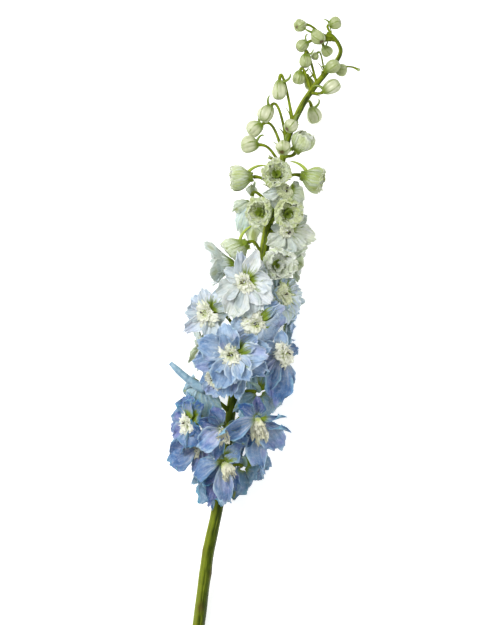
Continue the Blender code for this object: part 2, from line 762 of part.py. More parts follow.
def cut_stem_end(stem, cutters):
    """Cuts the stem's end on a slant, and gives it a small flat to rest on."""
    place, way = stem_at(0)
    for name, middle, tilt in (("slant", place + way * 2.0, CUT_SLANT), ("rest", None, 0.0)):
        bpy.ops.mesh.primitive_cube_add(size=CUTTER_SIZE * MM)
        block = bpy.context.object
        block.name = "cutter_" + name
        block.hide_render = True
        block.display_type = "WIRE"
        for held in list(block.users_collection):
            held.objects.unlink(block)
        cutters.objects.link(block)
        if middle is None:
            block.location = Vector((place[0], place[1], -CUTTER_SIZE / 2)) * MM
        else:
            yaw = math.atan2(way[1], way[0])
            block.rotation_euler = (0, math.radians(tilt), yaw)
            away = Vector((-CUTTER_SIZE / 2 * MM, 0, 0))
            away.rotate(block.rotation_euler)
            block.location = Vector(middle * MM) + away
        cut = stem.modifiers.new("Cut " + name, "BOOLEAN")
        cut.operation = "DIFFERENCE"
        cut.solver = "MANIFOLD"
        cut.object = block


def paint(obj, slot, materials):
    """Gives the object one material and smooth shading."""
    obj.data.materials.clear()
    obj.data.materials.append(materials[slot])
    obj.data.shade_smooth()
    obj.data.set_sharp_from_angle(angle=math.radians(50))


def make_materials():
    """One plain finish for each colour of the plant."""
    made = {}
    for name, (colour, roughness) in COLOURS.items():
        made[name] = bpy.data.materials.new(name)
        made[name].use_nodes = True
        shader = made[name].node_tree.nodes["Principled BSDF"]
        shader.inputs["Base Color"].default_value = (*colour, 1.0)
        shader.inputs["Roughness"].default_value = roughness
    return made


def sepal_colour(head):
    """Older flowers low on the spike are blue, and younger ones nearer the tip are white."""
    if head.kind in CUP_SHAPES:
        return "cup_green"
    if head.kind == "bud":
        return "bud_green"
    if head.y < -20:
        return "sepal_blue"
    return "sepal_pale" if head.y < 40 else "sepal_white"


def main():
    for obj in list(bpy.data.objects):
        bpy.data.objects.remove(obj)
    plant = bpy.data.collections.new("delphinium_spike")
    workshop = bpy.data.collections.new("workshop")
    cutters = bpy.data.collections.new("cutters")
    for collection in (plant, workshop, cutters):
        bpy.context.scene.collection.children.link(collection)
    cutters.hide_render = True
    materials = make_materials()
    draw = random.Random(SEED)

    stem = stem_body(workshop, plant)
    cut_stem_end(stem, cutters)
    paint(stem, "stem_green", materials)

    rooms = {head.name: rooms_of(head, workshop) for head in HEADS}
    stem_room = tube("stem.room", STEM_LINE[::3], STEM_RADIUS[::3], workshop, 2, GAP)
    for head in HEADS:
        body = flower_body(head, workshop, plant, draw)
        near = [other for other in HEADS if np.linalg.norm(middle_of(other) - middle_of(head)) < NEAR]
        cutting = [rooms[other.name][0] for other in near] + [stem_room]
        if head.kind != "bud":
            cutting += [rooms[other.name][1] for other in near if other.name != head.name]
        cut_clear(body, cutting)
        paint(body, sepal_colour(head), materials)
        if head.kind == "open" and head.petals > 5:
            paint(bee(head, plant), "bee_cream", materials)

    for obj in list(workshop.objects):
        bpy.data.objects.remove(obj)
    bpy.data.collections.remove(workshop)


main()
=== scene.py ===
import math
import random
from collections import namedtuple

import bpy
import numpy as np
from mathutils import Matrix, Vector


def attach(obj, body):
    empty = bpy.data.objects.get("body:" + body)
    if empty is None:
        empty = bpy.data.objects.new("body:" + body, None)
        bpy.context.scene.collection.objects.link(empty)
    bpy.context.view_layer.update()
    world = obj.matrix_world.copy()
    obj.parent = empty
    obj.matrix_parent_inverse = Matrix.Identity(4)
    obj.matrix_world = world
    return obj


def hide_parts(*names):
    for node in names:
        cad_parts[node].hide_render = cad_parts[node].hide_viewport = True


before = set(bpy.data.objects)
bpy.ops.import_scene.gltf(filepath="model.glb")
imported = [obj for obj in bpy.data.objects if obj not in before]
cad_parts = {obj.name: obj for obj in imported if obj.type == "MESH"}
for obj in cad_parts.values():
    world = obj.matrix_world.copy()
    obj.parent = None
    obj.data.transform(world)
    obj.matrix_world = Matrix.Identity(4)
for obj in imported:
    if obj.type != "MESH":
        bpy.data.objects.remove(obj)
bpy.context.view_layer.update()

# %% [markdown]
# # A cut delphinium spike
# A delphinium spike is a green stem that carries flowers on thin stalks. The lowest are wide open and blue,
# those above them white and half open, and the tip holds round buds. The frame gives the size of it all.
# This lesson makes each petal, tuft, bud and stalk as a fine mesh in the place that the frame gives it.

MM = 0.001

# %% [markdown]
# ## The camera
# The spike lies on a table, so the camera looks straight down on it. A close camera with a short lens would
# make the flowers nearest to it too large. This one hangs two metres above them with a long lens, and one
# pixel of the picture is 0.8 mm at the height of the flowers.

# %% Hang the camera
PICTURE_HEIGHT = 625
MM_PER_PIXEL = 0.8
VIEW_MIDDLE = Vector((-12.0, 21.2, 40.0))
CAMERA_AWAY = 2000.0
SENSOR = 36.0
FARTHEST_SEEN = 20.0

bpy.ops.object.camera_add(location=(VIEW_MIDDLE + Vector((0.0, 0.0, CAMERA_AWAY))) * MM)
camera = bpy.context.object
camera.name = "camera_above"
camera.data.sensor_width = SENSOR
camera.data.lens = SENSOR * CAMERA_AWAY / (PICTURE_HEIGHT * MM_PER_PIXEL)
camera.data.clip_end = FARTHEST_SEEN
bpy.context.scene.camera = camera
print("the lens is", round(camera.data.lens), "mm")

# %% [markdown]
# ## Floor and light
# The floor is a plain pale sheet. It glows a little, so it stays nearly white and the shadows on it stay
# faint. One lamp alone would leave the petals between others dark. So a broad soft light comes from the
# upper left of the picture, a broader one fills from the right, and a pale sky lifts what is left.

# %% Lay the floor
FLOOR_SIZE = 6.0
FLOOR_COLOUR = (0.95, 0.95, 0.95, 1.0)
FLOOR_ROUGHNESS = 0.8
FLOOR_GLOW = 0.5

bpy.ops.mesh.primitive_plane_add(size=FLOOR_SIZE)
floor = bpy.context.object
floor.name = "floor"
floor_skin = bpy.data.materials.new("pale_floor")
floor_skin.use_nodes = True
floor_sockets = floor_skin.node_tree.nodes["Principled BSDF"].inputs
floor_sockets["Base Color"].default_value = FLOOR_COLOUR
floor_sockets["Roughness"].default_value = FLOOR_ROUGHNESS
floor_sockets["Emission Color"].default_value = FLOOR_COLOUR
floor_sockets["Emission Strength"].default_value = FLOOR_GLOW
floor.data.materials.append(floor_skin)
print("the floor is", FLOOR_SIZE, "m wide")

# %% Hang the lights
# each light's place and width in metres, and its power in watts
LIGHTS = {
    "key_light": ((-1.1, 0.8, 1.6), 0.9, 36.0),
    "fill_light": ((1.5, -0.4, 1.6), 1.6, 15.0),
}
SKY_COLOUR = (0.95, 0.97, 1.0, 1.0)
SKY_STRENGTH = 0.5

for name, (place, width, power) in LIGHTS.items():
    bpy.ops.object.light_add(type="AREA", location=place)
    lamp = bpy.context.object
    lamp.name = name
    lamp.data.size = width
    lamp.data.energy = power
    lamp.rotation_euler = (-lamp.location).to_track_quat("-Z", "Y").to_euler()

world = bpy.data.worlds.new("pale_sky")
world.use_nodes = True
world.node_tree.nodes["Background"].inputs["Color"].default_value = SKY_COLOUR
world.node_tree.nodes["Background"].inputs["Strength"].default_value = SKY_STRENGTH
bpy.context.scene.world = world
bpy.context.scene.view_settings.view_transform = "Standard"

# %% [markdown]
# ## Tools for shader nodes
# A material here is a small graph of nodes. It could be wired by hand in the shader editor. These helpers
# add one node each, so that a graph reads as a list of steps: take a value, spread it, and mix two colours
# by it.

# %% Define the node helpers
def add_node(tree, kind, inputs=(), **settings):
    """A node of a kind. An input is a number, a colour or another node's socket."""
    node = tree.nodes.new(kind)
    for name, value in settings.items():
        setattr(node, name, value)
    for key, value in dict(inputs).items():
        if isinstance(value, bpy.types.NodeSocket):
            tree.links.new(value, node.inputs[key])
        else:
            node.inputs[key].default_value = value
    return node


def calc(tree, operation, first, second=0.0):
    """The result of one sum on one or two values."""
    return add_node(tree, "ShaderNodeMath", {0: first, 1: second}, operation=operation).outputs[0]


def times(tree, first, second):
    """Two values multiplied."""
    return calc(tree, "MULTIPLY", first, second)


def plus(tree, first, second):
    """Two values added."""
    return calc(tree, "ADD", first, second)


def spread(tree, value, low, high, start=0.0, end=1.0):
    """A value between low and high eased to between start and end."""
    inputs = {"Value": value, "From Min": low, "From Max": high, "To Min": start, "To Max": end}
    return add_node(tree, "ShaderNodeMapRange", inputs, interpolation_type="SMOOTHSTEP").outputs["Result"]


def blend_colours(tree, share, first, second, way="MIX"):
    """Two colours mixed by a share."""
    node = add_node(tree, "ShaderNodeMix", data_type="RGBA", blend_type=way)
    for socket, value in zip((node.inputs[0], node.inputs[6], node.inputs[7]), (share, first, second)):
        if isinstance(value, bpy.types.NodeSocket):
            tree.links.new(value, socket)
        else:
            socket.default_value = value if isinstance(value, float) else (*value, 1.0)
    return node.outputs[2]


def colour_steps(tree, value, steps):
    """A colour for each value, from a list of places and colours."""
    node = add_node(tree, "ShaderNodeValToRGB", {"Fac": value})
    ramp = node.color_ramp
    while len(ramp.elements) < len(steps):
        ramp.elements.new(0.5)
    for element, (place, colour) in zip(ramp.elements, steps):
        element.position = place
        element.color = (*colour, 1.0)
    return node.outputs["Color"]


print("node helpers for sums and colours are ready")

# %% Define the helpers for places and materials
NOISE_ROUGHNESS = 0.55
GLOW_REACH = (1.0, 0.9, 0.8)
GLOW_DEPTH = 2.0


def noise(tree, place, scale, detail=2.0, stretch=(1.0, 1.0, 1.0)):
    """A cloudy value from 0 to 1, stretched along the axes of the place."""
    mapped = add_node(tree, "ShaderNodeMapping", {"Vector": place, "Scale": stretch}).outputs["Vector"]
    inputs = {"Vector": mapped, "Scale": scale, "Detail": detail, "Roughness": NOISE_ROUGHNESS}
    return add_node(tree, "ShaderNodeTexNoise", inputs).outputs["Fac"]


def parts_of(tree, vector):
    """The three numbers of a vector."""
    return add_node(tree, "ShaderNodeSeparateXYZ", {0: vector}).outputs


def place_of(tree):
    """The place on the piece, which moves with it."""
    return add_node(tree, "ShaderNodeTexCoord").outputs["Object"]


def kept_in(tree, attribute):
    """The vector that an attribute keeps at each point."""
    return add_node(tree, "ShaderNodeAttribute", attribute_name=attribute).outputs["Vector"]


def petal_map(tree):
    """The petal's own map, and on it how far across and how far along a point is."""
    flat = add_node(tree, "ShaderNodeUVMap", uv_map="UVMap").outputs["UV"]
    across, along, _ = parts_of(tree, flat)
    return flat, across, along


def new_material(name, roughness, subsurface=0.0, sheen=0.0):
    """A material with its tree and shader. What is the same all over is set on the shader itself."""
    material = bpy.data.materials.new(name)
    material.use_nodes = True
    tree = material.node_tree
    shader = tree.nodes["Principled BSDF"]
    shader.inputs["Roughness"].default_value = roughness
    shader.inputs["Subsurface Weight"].default_value = subsurface
    shader.inputs["Subsurface Radius"].default_value = GLOW_REACH
    shader.inputs["Subsurface Scale"].default_value = GLOW_DEPTH * MM
    shader.inputs["Sheen Weight"].default_value = sheen
    return material, tree, shader


def coloured(tree, shader, colour):
    """The colour on the shader."""
    tree.links.new(colour, shader.inputs["Base Color"])


def bumped(tree, shader, height, strength, distance):
    """The height as fine relief on the shader."""
    inputs = {"Height": height, "Strength": strength, "Distance": distance * MM}
    tree.links.new(add_node(tree, "ShaderNodeBump", inputs).outputs["Normal"], shader.inputs["Normal"])


print("light reaches", GLOW_DEPTH, "mm into a petal")

# %% [markdown]
# ## Veins
# The petals and the bees have fine veins that run from foot to tip. They could be painted on a picture, but
# noise stretched along the petal looks the same and fits every petal. Each petal's own map has its width
# along U and its length along V, so streaks stretched along V follow the petal and fan out as it widens.

# %% Build the vein group
WANDER_SCALE = 90.0
WANDER = 0.16
THIN_STRETCH = (30.0, 1.7, 1.0)
BROAD_STRETCH = (9.0, 1.1, 1.0)


def make_vein_group():
    """Streaks along V: a mask of fine veins and a softer one of broad streaks."""
    group = bpy.data.node_groups.new("petal_veins", "ShaderNodeTree")
    for name, way, kind in (
        ("Map", "INPUT", "NodeSocketVector"),
        ("Fineness", "INPUT", "NodeSocketFloat"),
        ("Veins", "OUTPUT", "NodeSocketFloat"),
        ("Streaks", "OUTPUT", "NodeSocketFloat"),
    ):
        group.interface.new_socket(name, in_out=way, socket_type=kind)
    given = add_node(group, "NodeGroupInput").outputs
    result = add_node(group, "NodeGroupOutput").inputs
    wander = times(group, noise(group, place_of(group), WANDER_SCALE, 1.0), WANDER)
    shift = add_node(group, "ShaderNodeCombineXYZ", {"X": wander}).outputs[0]
    moved = add_node(group, "ShaderNodeVectorMath", {0: given["Map"], 1: shift}, operation="ADD").outputs[0]
    inputs = {0: moved, "Scale": given["Fineness"]}
    sized = add_node(group, "ShaderNodeVectorMath", inputs, operation="SCALE").outputs[0]
    thin = noise(group, sized, 1.0, 3.0, THIN_STRETCH)
    broad = noise(group, sized, 1.0, 1.0, BROAD_STRETCH)
    group.links.new(spread(group, thin, 0.47, 0.66), result["Veins"])
    group.links.new(spread(group, broad, 0.36, 0.68), result["Streaks"])
    return group


VEINS = make_vein_group()


def veins_on(tree, flat, fineness):
    """The vein group placed in a material: its fine veins and its broad streaks."""
    return add_node(tree, "ShaderNodeGroup", {"Map": flat, "Fineness": fineness}, node_tree=VEINS).outputs


print("group", VEINS.name, "holds", len(VEINS.nodes), "nodes")

# %% [markdown]
# ## Sepal colour
# A delphinium's coloured petals are its sepals. They open white and green and turn blue as they age, from
# the foot of the spike up. The rim of an old sepal is a deeper teal. On pale and mid-blue sepals the rim is
# painted paler than the blade, a painted highlight where the thin edge catches the light. The foot is white
# or green, and pink-lilac tints cross the blue. A material for each flower would do it, but one for all is
# easier to tune: each sepal carries its own numbers in attributes, such as how blue it is, how green, and
# how deep its throat is.

# %% Choose the sepals' colours
SEPAL_AGES = [
    (0.0, (0.58, 0.63, 0.33)),
    (0.06, (0.72, 0.77, 0.58)),
    (0.14, (0.86, 0.88, 0.86)),
    (0.3, (0.68, 0.76, 0.85)),
    (0.55, (0.46, 0.61, 0.80)),
    (0.8, (0.085, 0.215, 0.45)),
    (1.0, (0.018, 0.09, 0.29)),
]
BACK_AGES = [
    (0.0, (0.66, 0.72, 0.38)),
    (0.2, (0.79, 0.86, 0.81)),
    (0.5, (0.36, 0.53, 0.61)),
    (0.75, (0.20, 0.37, 0.48)),
    (1.0, (0.12, 0.25, 0.38)),
]
# the rim's colour by age: cream on young sepals, a painted highlight paler than the blade on pale and
# mid-blue ones, and deep teal on old ones
RIM_TEAL_AND_HIGHLIGHT = [
    (0.0, (0.84, 0.86, 0.72)),
    (0.25, (0.82, 0.88, 0.88)),
    (0.6, (0.66, 0.79, 0.90)),
    (0.85, (0.10, 0.36, 0.50)),
    (1.0, (0.012, 0.18, 0.27)),
]
FOOT_WHITE = (0.82, 0.85, 0.85)
THROAT_GREEN = (0.20, 0.29, 0.004)
SPOT_GREEN = (0.20, 0.25, 0.01)
LEAF_GREEN = (0.36, 0.46, 0.035)
LILAC = (0.42, 0.34, 0.68)
# what multiplies the colour in veins and shaded petals, on a green-white one and on a blue one
VEIN_TINTS = ((0.72, 0.76, 0.64), (0.55, 0.64, 0.76))
SHADE_TINTS = ((0.62, 0.66, 0.56), (0.56, 0.65, 0.71))
GRAIN_TINT = (0.72, 0.78, 0.80)
# how many clouds lie side by side in a metre
PATCHES = 130.0
GRAIN = 430.0
RIM_PATCHES = 70.0
LILAC_PATCHES = 60.0
print("sepal colours run over", len(SEPAL_AGES), "ages")

# %% Colour the sepals
def aged_colour(tree, place, patches, age, back, off_middle, along):
    """The colour of the face and the back by age, older in patches, with lilac tints and a rim: teal on old
    sepals, a painted highlight on paler ones.
    """
    shifted = plus(tree, age, spread(tree, patches, 0.25, 0.75, -0.06, 0.1))
    shifted = calc(tree, "MAXIMUM", shifted, calc(tree, "MINIMUM", age, 0.12))
    face = colour_steps(tree, shifted, SEPAL_AGES)
    body = blend_colours(tree, back, face, colour_steps(tree, shifted, BACK_AGES))
    # on pale and mid-blue sepals the rim is a painted highlight where the thin edge catches light; on old
    # ones it is their teal margin
    rim = calc(tree, "MAXIMUM", spread(tree, off_middle, 0.37, 0.5), spread(tree, along, 0.88, 1.0))
    uneven = spread(tree, noise(tree, place, RIM_PATCHES), 0.38, 0.62, 0.3, 1.2)
    rim_share = times(tree, rim, times(tree, uneven, 0.9))
    body = blend_colours(tree, rim_share, body, colour_steps(tree, age, RIM_TEAL_AND_HIGHLIGHT))
    lilac_share = times(tree, spread(tree, noise(tree, place, LILAC_PATCHES), 0.5, 0.68), age)
    lilac_share = times(tree, lilac_share, spread(tree, back, 0.0, 1.0, 0.55, 0.15))
    return blend_colours(tree, lilac_share, body, LILAC)


def streaked_colour(tree, colour, age, green, back, shade, along, thin, broad, grain):
    """A paler foot, darker veins, each petal's own shade, a fine grain, and green streaks."""
    foot = times(tree, spread(tree, along, 0.1, 0.8, 1.0, 0.0), spread(tree, broad, 0.0, 1.0, 0.25, 1.0))
    foot = times(tree, foot, spread(tree, age, 0.5, 1.0, 1.0, 0.35))
    foot = times(tree, foot, spread(tree, back, 0.0, 1.0, 1.0, 0.2))
    colour = blend_colours(tree, foot, colour, FOOT_WHITE)
    blue = spread(tree, age, 0.1, 0.5)
    vein_tint = blend_colours(tree, blue, *VEIN_TINTS)
    colour = blend_colours(tree, times(tree, thin, 0.7), colour, vein_tint, "MULTIPLY")
    shade_tint = blend_colours(tree, blue, *SHADE_TINTS)
    colour = blend_colours(tree, spread(tree, shade, 0.0, 1.0, 0.8, 0.0), colour, shade_tint, "MULTIPLY")
    colour = blend_colours(tree, spread(tree, grain, 0.48, 0.7, 0.0, 0.35), colour, GRAIN_TINT, "MULTIPLY")
    colour = blend_colours(tree, spread(tree, grain, 0.34, 0.5, 0.13, 0.0), colour, FOOT_WHITE)
    streaks = times(tree, spread(tree, broad, 0.0, 1.0, 0.1, 0.95), green)
    return blend_colours(tree, streaks, colour, LEAF_GREEN)


def marked_colour(tree, colour, throat, spot, back, off_middle, along, thin, patches):
    """The green throat, which runs up from the foot in streaks, and the green spot behind the tip."""
    reach = times(tree, throat, spread(tree, thin, 0.0, 1.0, 0.5, 0.9))
    inside = spread(tree, calc(tree, "SUBTRACT", reach, along), -0.06, 0.14)
    colour = blend_colours(tree, inside, colour, THROAT_GREEN)
    high = times(tree, calc(tree, "SUBTRACT", along, 0.82), 0.8)
    away = calc(tree, "SQRT", plus(tree, calc(tree, "POWER", off_middle, 2.0), times(tree, high, high)))
    ragged = plus(tree, away, spread(tree, patches, 0.3, 0.7, -0.04, 0.04))
    spotted = times(tree, spread(tree, ragged, 0.02, 0.14, 1.0, 0.0), times(tree, spot, back))
    return blend_colours(tree, spotted, colour, SPOT_GREEN)


def make_sepal_material():
    """Sepals from white and green to blue, by each sepal's own numbers."""
    material, tree, shader = new_material("sepal_skin", 0.5, subsurface=0.28, sheen=0.1)
    age, green, throat = parts_of(tree, kept_in(tree, "petal_marks"))
    back, spot, shade = parts_of(tree, kept_in(tree, "petal_sides"))
    flat, across, along = petal_map(tree)
    off_middle = calc(tree, "ABSOLUTE", calc(tree, "SUBTRACT", across, 0.5))
    thin, broad = veins_on(tree, flat, 1.0)
    place = place_of(tree)
    patches = noise(tree, place, PATCHES, 3.0)
    grain = noise(tree, place, GRAIN, 2.0)
    colour = aged_colour(tree, place, patches, age, back, off_middle, along)
    colour = streaked_colour(tree, colour, age, green, back, shade, along, thin, broad, grain)
    colour = marked_colour(tree, colour, throat, spot, back, off_middle, along, thin, patches)
    coloured(tree, shader, colour)
    tree.links.new(spread(tree, patches, 0.2, 0.8, 0.42, 0.62), shader.inputs["Roughness"])
    height = plus(tree, times(tree, thin, -0.7), times(tree, patches, 1.2))
    bumped(tree, shader, plus(tree, height, times(tree, grain, 1.2)), 0.7, 0.5)
    return material


SEPAL_SKIN = make_sepal_material()
print("made", SEPAL_SKIN.name)

# %% [markdown]
# ## Bees and anthers
# The tuft in a flower's middle is called its bee. It is cream with green-yellow shading at its foot, and its
# petals have the same veins as the sepals, only finer and fainter. Dark anthers stand in its mouth. Their
# dust is a fine noise, because grains of real dust would cost thousands of faces and not be seen.

# %% Colour the bees and anthers
BEE_CREAM = (0.95, 0.95, 0.84)
BEE_OLD = (0.80, 0.76, 0.56)
BEE_SHADE = (0.50, 0.60, 0.10)
BEE_VEIN = (0.56, 0.58, 0.24)
BEE_PATCHES = 320.0
ANTHER_BROWN = (0.035, 0.022, 0.018)
ANTHER_DUST = (0.16, 0.13, 0.09)
DUST_GRAIN = 1500.0


def make_bee_material():
    """Cream petals, greener towards their feet and darker with age."""
    material, tree, shader = new_material("bee_skin", 0.55, subsurface=0.3, sheen=0.2)
    age, green, _ = parts_of(tree, kept_in(tree, "petal_marks"))
    flat, _, along = petal_map(tree)
    patches = noise(tree, place_of(tree), BEE_PATCHES, 2.0)
    cream = blend_colours(tree, age, BEE_CREAM, BEE_OLD)
    foot = times(tree, spread(tree, along, 0.2, 0.72, 1.0, 0.0), spread(tree, patches, 0.3, 0.7, 0.5, 1.0))
    cream = blend_colours(tree, calc(tree, "MAXIMUM", foot, green), cream, BEE_SHADE)
    thin = veins_on(tree, flat, 0.5)["Veins"]
    coloured(tree, shader, blend_colours(tree, times(tree, thin, 0.35), cream, BEE_VEIN))
    bumped(tree, shader, patches, 0.5, 0.4)
    return material


def make_anther_material():
    """Dark dusty anthers."""
    material, tree, shader = new_material("anther_skin", 0.7)
    dusty = spread(tree, noise(tree, place_of(tree), DUST_GRAIN), 0.45, 0.8)
    coloured(tree, shader, blend_colours(tree, dusty, ANTHER_BROWN, ANTHER_DUST))
    return material


BEE_SKIN = make_bee_material()
ANTHER_SKIN = make_anther_material()
print("made", BEE_SKIN.name, "and", ANTHER_SKIN.name)

# %% [markdown]
# ## Buds
# Buds are pale green, greener at both ends and in the tip of the spike, with a soft green streak on each
# rib. Some have a dry brown tip. Where a rib is and how far along the bud a point lies is known when the
# bud is shaped, so the material reads both from an attribute and needs no map.

# %% Colour the buds
BUD_PALE = (0.60, 0.62, 0.42)
BUD_GREEN = (0.15, 0.22, 0.008)
BUD_YOUNG = (0.34, 0.40, 0.12)
BUD_MOTTLE = (0.36, 0.42, 0.16)
TIP_BROWN = (0.09, 0.05, 0.015)
BUD_CLOUDS = 260.0
BUD_PATCHES = 150.0


def make_bud_material():
    """Pale buds, green where the stalk meets them, with soft green ribs and a brown tip."""
    material, tree, shader = new_material("bud_skin", 0.36, subsurface=0.08)
    along, rib, brown = parts_of(tree, kept_in(tree, "petal_marks"))
    young, _, _ = parts_of(tree, kept_in(tree, "petal_sides"))
    place = place_of(tree)
    cloud = noise(tree, place, BUD_CLOUDS, 3.0)
    foot = plus(tree, spread(tree, along, 0.08, 0.45, 1.0, 0.0), times(tree, young, 0.4))
    tip = spread(tree, along, 0.7, 1.0, 0.0, 0.65)
    pale = blend_colours(tree, times(tree, young, 0.4), BUD_PALE, BUD_YOUNG)
    skin = blend_colours(tree, calc(tree, "MAXIMUM", foot, tip), pale, BUD_GREEN)
    on_rib = times(tree, spread(tree, rib, 0.76, 1.0), spread(tree, cloud, 0.3, 0.6, 0.3, 0.95))
    skin = blend_colours(tree, on_rib, skin, BUD_GREEN)
    mottled = spread(tree, noise(tree, place, BUD_PATCHES), 0.4, 0.7, 0.0, 0.35)
    skin = blend_colours(tree, mottled, skin, BUD_MOTTLE)
    edge = plus(tree, along, times(tree, cloud, 0.1))
    dry = times(tree, spread(tree, edge, 1.0, 1.05), brown)
    coloured(tree, shader, blend_colours(tree, dry, skin, TIP_BROWN))
    bumped(tree, shader, cloud, 0.3, 0.3)
    return material


BUD_SKIN = make_bud_material()
print("made", BUD_SKIN.name)

# %% [markdown]
# ## Stem colour
# The stem is olive and fresher towards its tip, with dark clouds, lighter streaks along its ridges, brown
# scars and pale pith at the cut. Its left side is painted lighter and its right side darker, a painted
# highlight and painted shade for the lamp at the upper left. Streaks on Object coordinates would cross the
# stem where it bends. So each point keeps its place on the stem as if it were straight, and the streaks are
# drawn on that.

# %% Colour the stem
STEM_OLIVE = (0.08, 0.115, 0.002)
STEM_YOUNG = (0.16, 0.225, 0.005)
# the lighter colour is for the streaks and a painted highlight on the stem's left side, the darker one for
# the clouds and painted shade on its right side
STEM_STREAK_AND_HIGHLIGHT = (0.30, 0.35, 0.03)
STEM_CLOUD_AND_SHADE = (0.02, 0.035, 0.001)
PITH = (0.62, 0.66, 0.42)
STREAK_STRETCH = (900.0, 900.0, 38.0)
CLOUD_STRETCH = (260.0, 260.0, 110.0)
# the stem grows fresher between these places up the spike, in metres
YOUNG_FROM = -0.06
YOUNG_TO = 0.16


def make_stem_material():
    """Olive skin, fresher at the tip, with streaks, painted light and shade on its two sides, brown scars
    and pale pith at the cut.
    """
    material, tree, shader = new_material("stem_skin", 0.48)
    shader.inputs["Specular IOR Level"].default_value = 0.1
    along_stem = kept_in(tree, "stem_place")
    light, scar, cut = parts_of(tree, kept_in(tree, "petal_marks"))
    _, up_spike, _ = parts_of(tree, place_of(tree))
    streaks = noise(tree, along_stem, 1.0, 3.0, STREAK_STRETCH)
    cloud = noise(tree, along_stem, 1.0, 2.0, CLOUD_STRETCH)
    skin = blend_colours(tree, spread(tree, up_spike, YOUNG_FROM, YOUNG_TO), STEM_OLIVE, STEM_YOUNG)
    skin = blend_colours(tree, spread(tree, cloud, 0.35, 0.7, 0.0, 0.9), skin, STEM_CLOUD_AND_SHADE)
    # painted shade: the stem's right side, away from the key lamp, is darkened
    skin = blend_colours(tree, spread(tree, light, -0.6, 0.0, 0.75, 0.0), skin, STEM_CLOUD_AND_SHADE)
    # painted highlight on the stem's left side, joined with the lighter streaks; stalks and bracts are paler
    # all over by the same mark
    streaks_and_highlight = calc(tree, "MAXIMUM", spread(tree, streaks, 0.5, 0.72, 0.0, 0.5), light)
    skin = blend_colours(tree, streaks_and_highlight, skin, STEM_STREAK_AND_HIGHLIGHT)
    skin = blend_colours(tree, scar, skin, TIP_BROWN)
    coloured(tree, shader, blend_colours(tree, cut, skin, PITH))
    bumped(tree, shader, streaks, 0.45, 0.4)
    return material


STEM_SKIN = make_stem_material()
print("made", STEM_SKIN.name)

# %% [markdown]
# ## The stem's line
# The stem rises from its cut end, leans to the right and curls over at its tip, and every head is placed by
# it. A curve object could hold that line. An array of points is handier here, because the heads, the room
# round them and the stalks all ask for the nearest point of the stem and for its way there.

# %% Draw the stem's line
# places along the stem in millimetres, the same ones as in the frame, and the stem's radius at each
STEM_ROUTE = [
    (-57.2, -256.8, 4.35, 4.9),
    (-53.2, -228.8, 8.6, 4.8),
    (-46.4, -176.8, 15.8, 4.7),
    (-38.4, -136.8, 21.6, 4.6),
    (-32.0, -92.8, 26.6, 4.4),
    (-26.4, -52.8, 30.0, 4.1),
    (-15.5, -0.8, 32.6, 3.7),
    (-2.4, 61.6, 34.2, 3.8),
    (3.0, 92.4, 34.4, 3.6),
    (12.8, 139.2, 34.0, 2.8),
    (20.0, 165.6, 33.4, 2.5),
    (29.6, 187.2, 32.8, 2.4),
    (39.2, 201.6, 32.2, 2.3),
    (48.8, 213.6, 31.6, 2.1),
    (56.8, 222.4, 31.2, 1.8),
    (60.8, 230.4, 31.0, 1.6),
    (59.2, 236.8, 31.2, 1.5),
    (54.4, 243.2, 31.6, 1.4),
    (49.6, 245.6, 32.2, 1.3),
]
STEPS_PER_SPAN = 8


def smooth_route(points, per_span):
    """A smooth curve that passes through all the points, with per_span steps between each two."""
    points = np.array(points, float)
    ends = np.vstack([2 * points[0] - points[1], points, 2 * points[-1] - points[-2]])
    found = []
    for index in range(1, len(ends) - 2):
        before, start, end, after = ends[index - 1 : index + 3]
        for step in np.arange(per_span) / per_span:
            point = 2 * start + (end - before) * step
            point = point + (2 * before - 5 * start + 4 * end - after) * step**2
            point = point + (3 * start - before - 3 * end + after) * step**3
            found.append(point / 2)
    return np.vstack([found, points[-1]])


def unit(vector):
    """The vector at length one."""
    return vector / np.linalg.norm(vector)


STEM = smooth_route(STEM_ROUTE, STEPS_PER_SPAN)
STEM_LINE = STEM[:, :3]
STEM_RADIUS = STEM[:, 3]
STEM_WAY = np.gradient(STEM_LINE, axis=0)
STEM_WAY /= np.linalg.norm(STEM_WAY, axis=1)[:, None]
STEM_LENGTH = np.concatenate([[0], np.cumsum(np.linalg.norm(np.diff(STEM_LINE, axis=0), axis=1))])


def stem_at(length):
    """The stem's middle line and its way at a length from the cut end."""
    place = np.array([np.interp(length, STEM_LENGTH, STEM_LINE[:, axis]) for axis in range(3)])
    way = np.array([np.interp(length, STEM_LENGTH, STEM_WAY[:, axis]) for axis in range(3)])
    return place, unit(way)


def nearest_on_stem(points):
    """For each point, the index of the nearest point of the stem's line and the distance to it."""
    apart = np.linalg.norm(np.atleast_2d(points)[:, None, :] - STEM_LINE[None], axis=2)
    index = apart.argmin(axis=1)
    return index, apart[np.arange(len(index)), index]


print("the stem is", round(STEM_LENGTH[-1]), "mm long")

# %% [markdown]
# ## The flower heads
# Each head has its middle, the way it faces, its size and its own look. Turn is the way it faces in the
# plan, counted from +X, lift is how far it looks up, and roll turns it round its own face. Age runs from 0,
# white and green, to 1, full blue. The heads could be scattered by a rule, but then they would not match
# the nodes of the frame, so each is listed.

# %% List the open heads
Head = namedtuple("Head", "name kind x y z turn lift roll size age green", defaults=[0.0, 0.0])

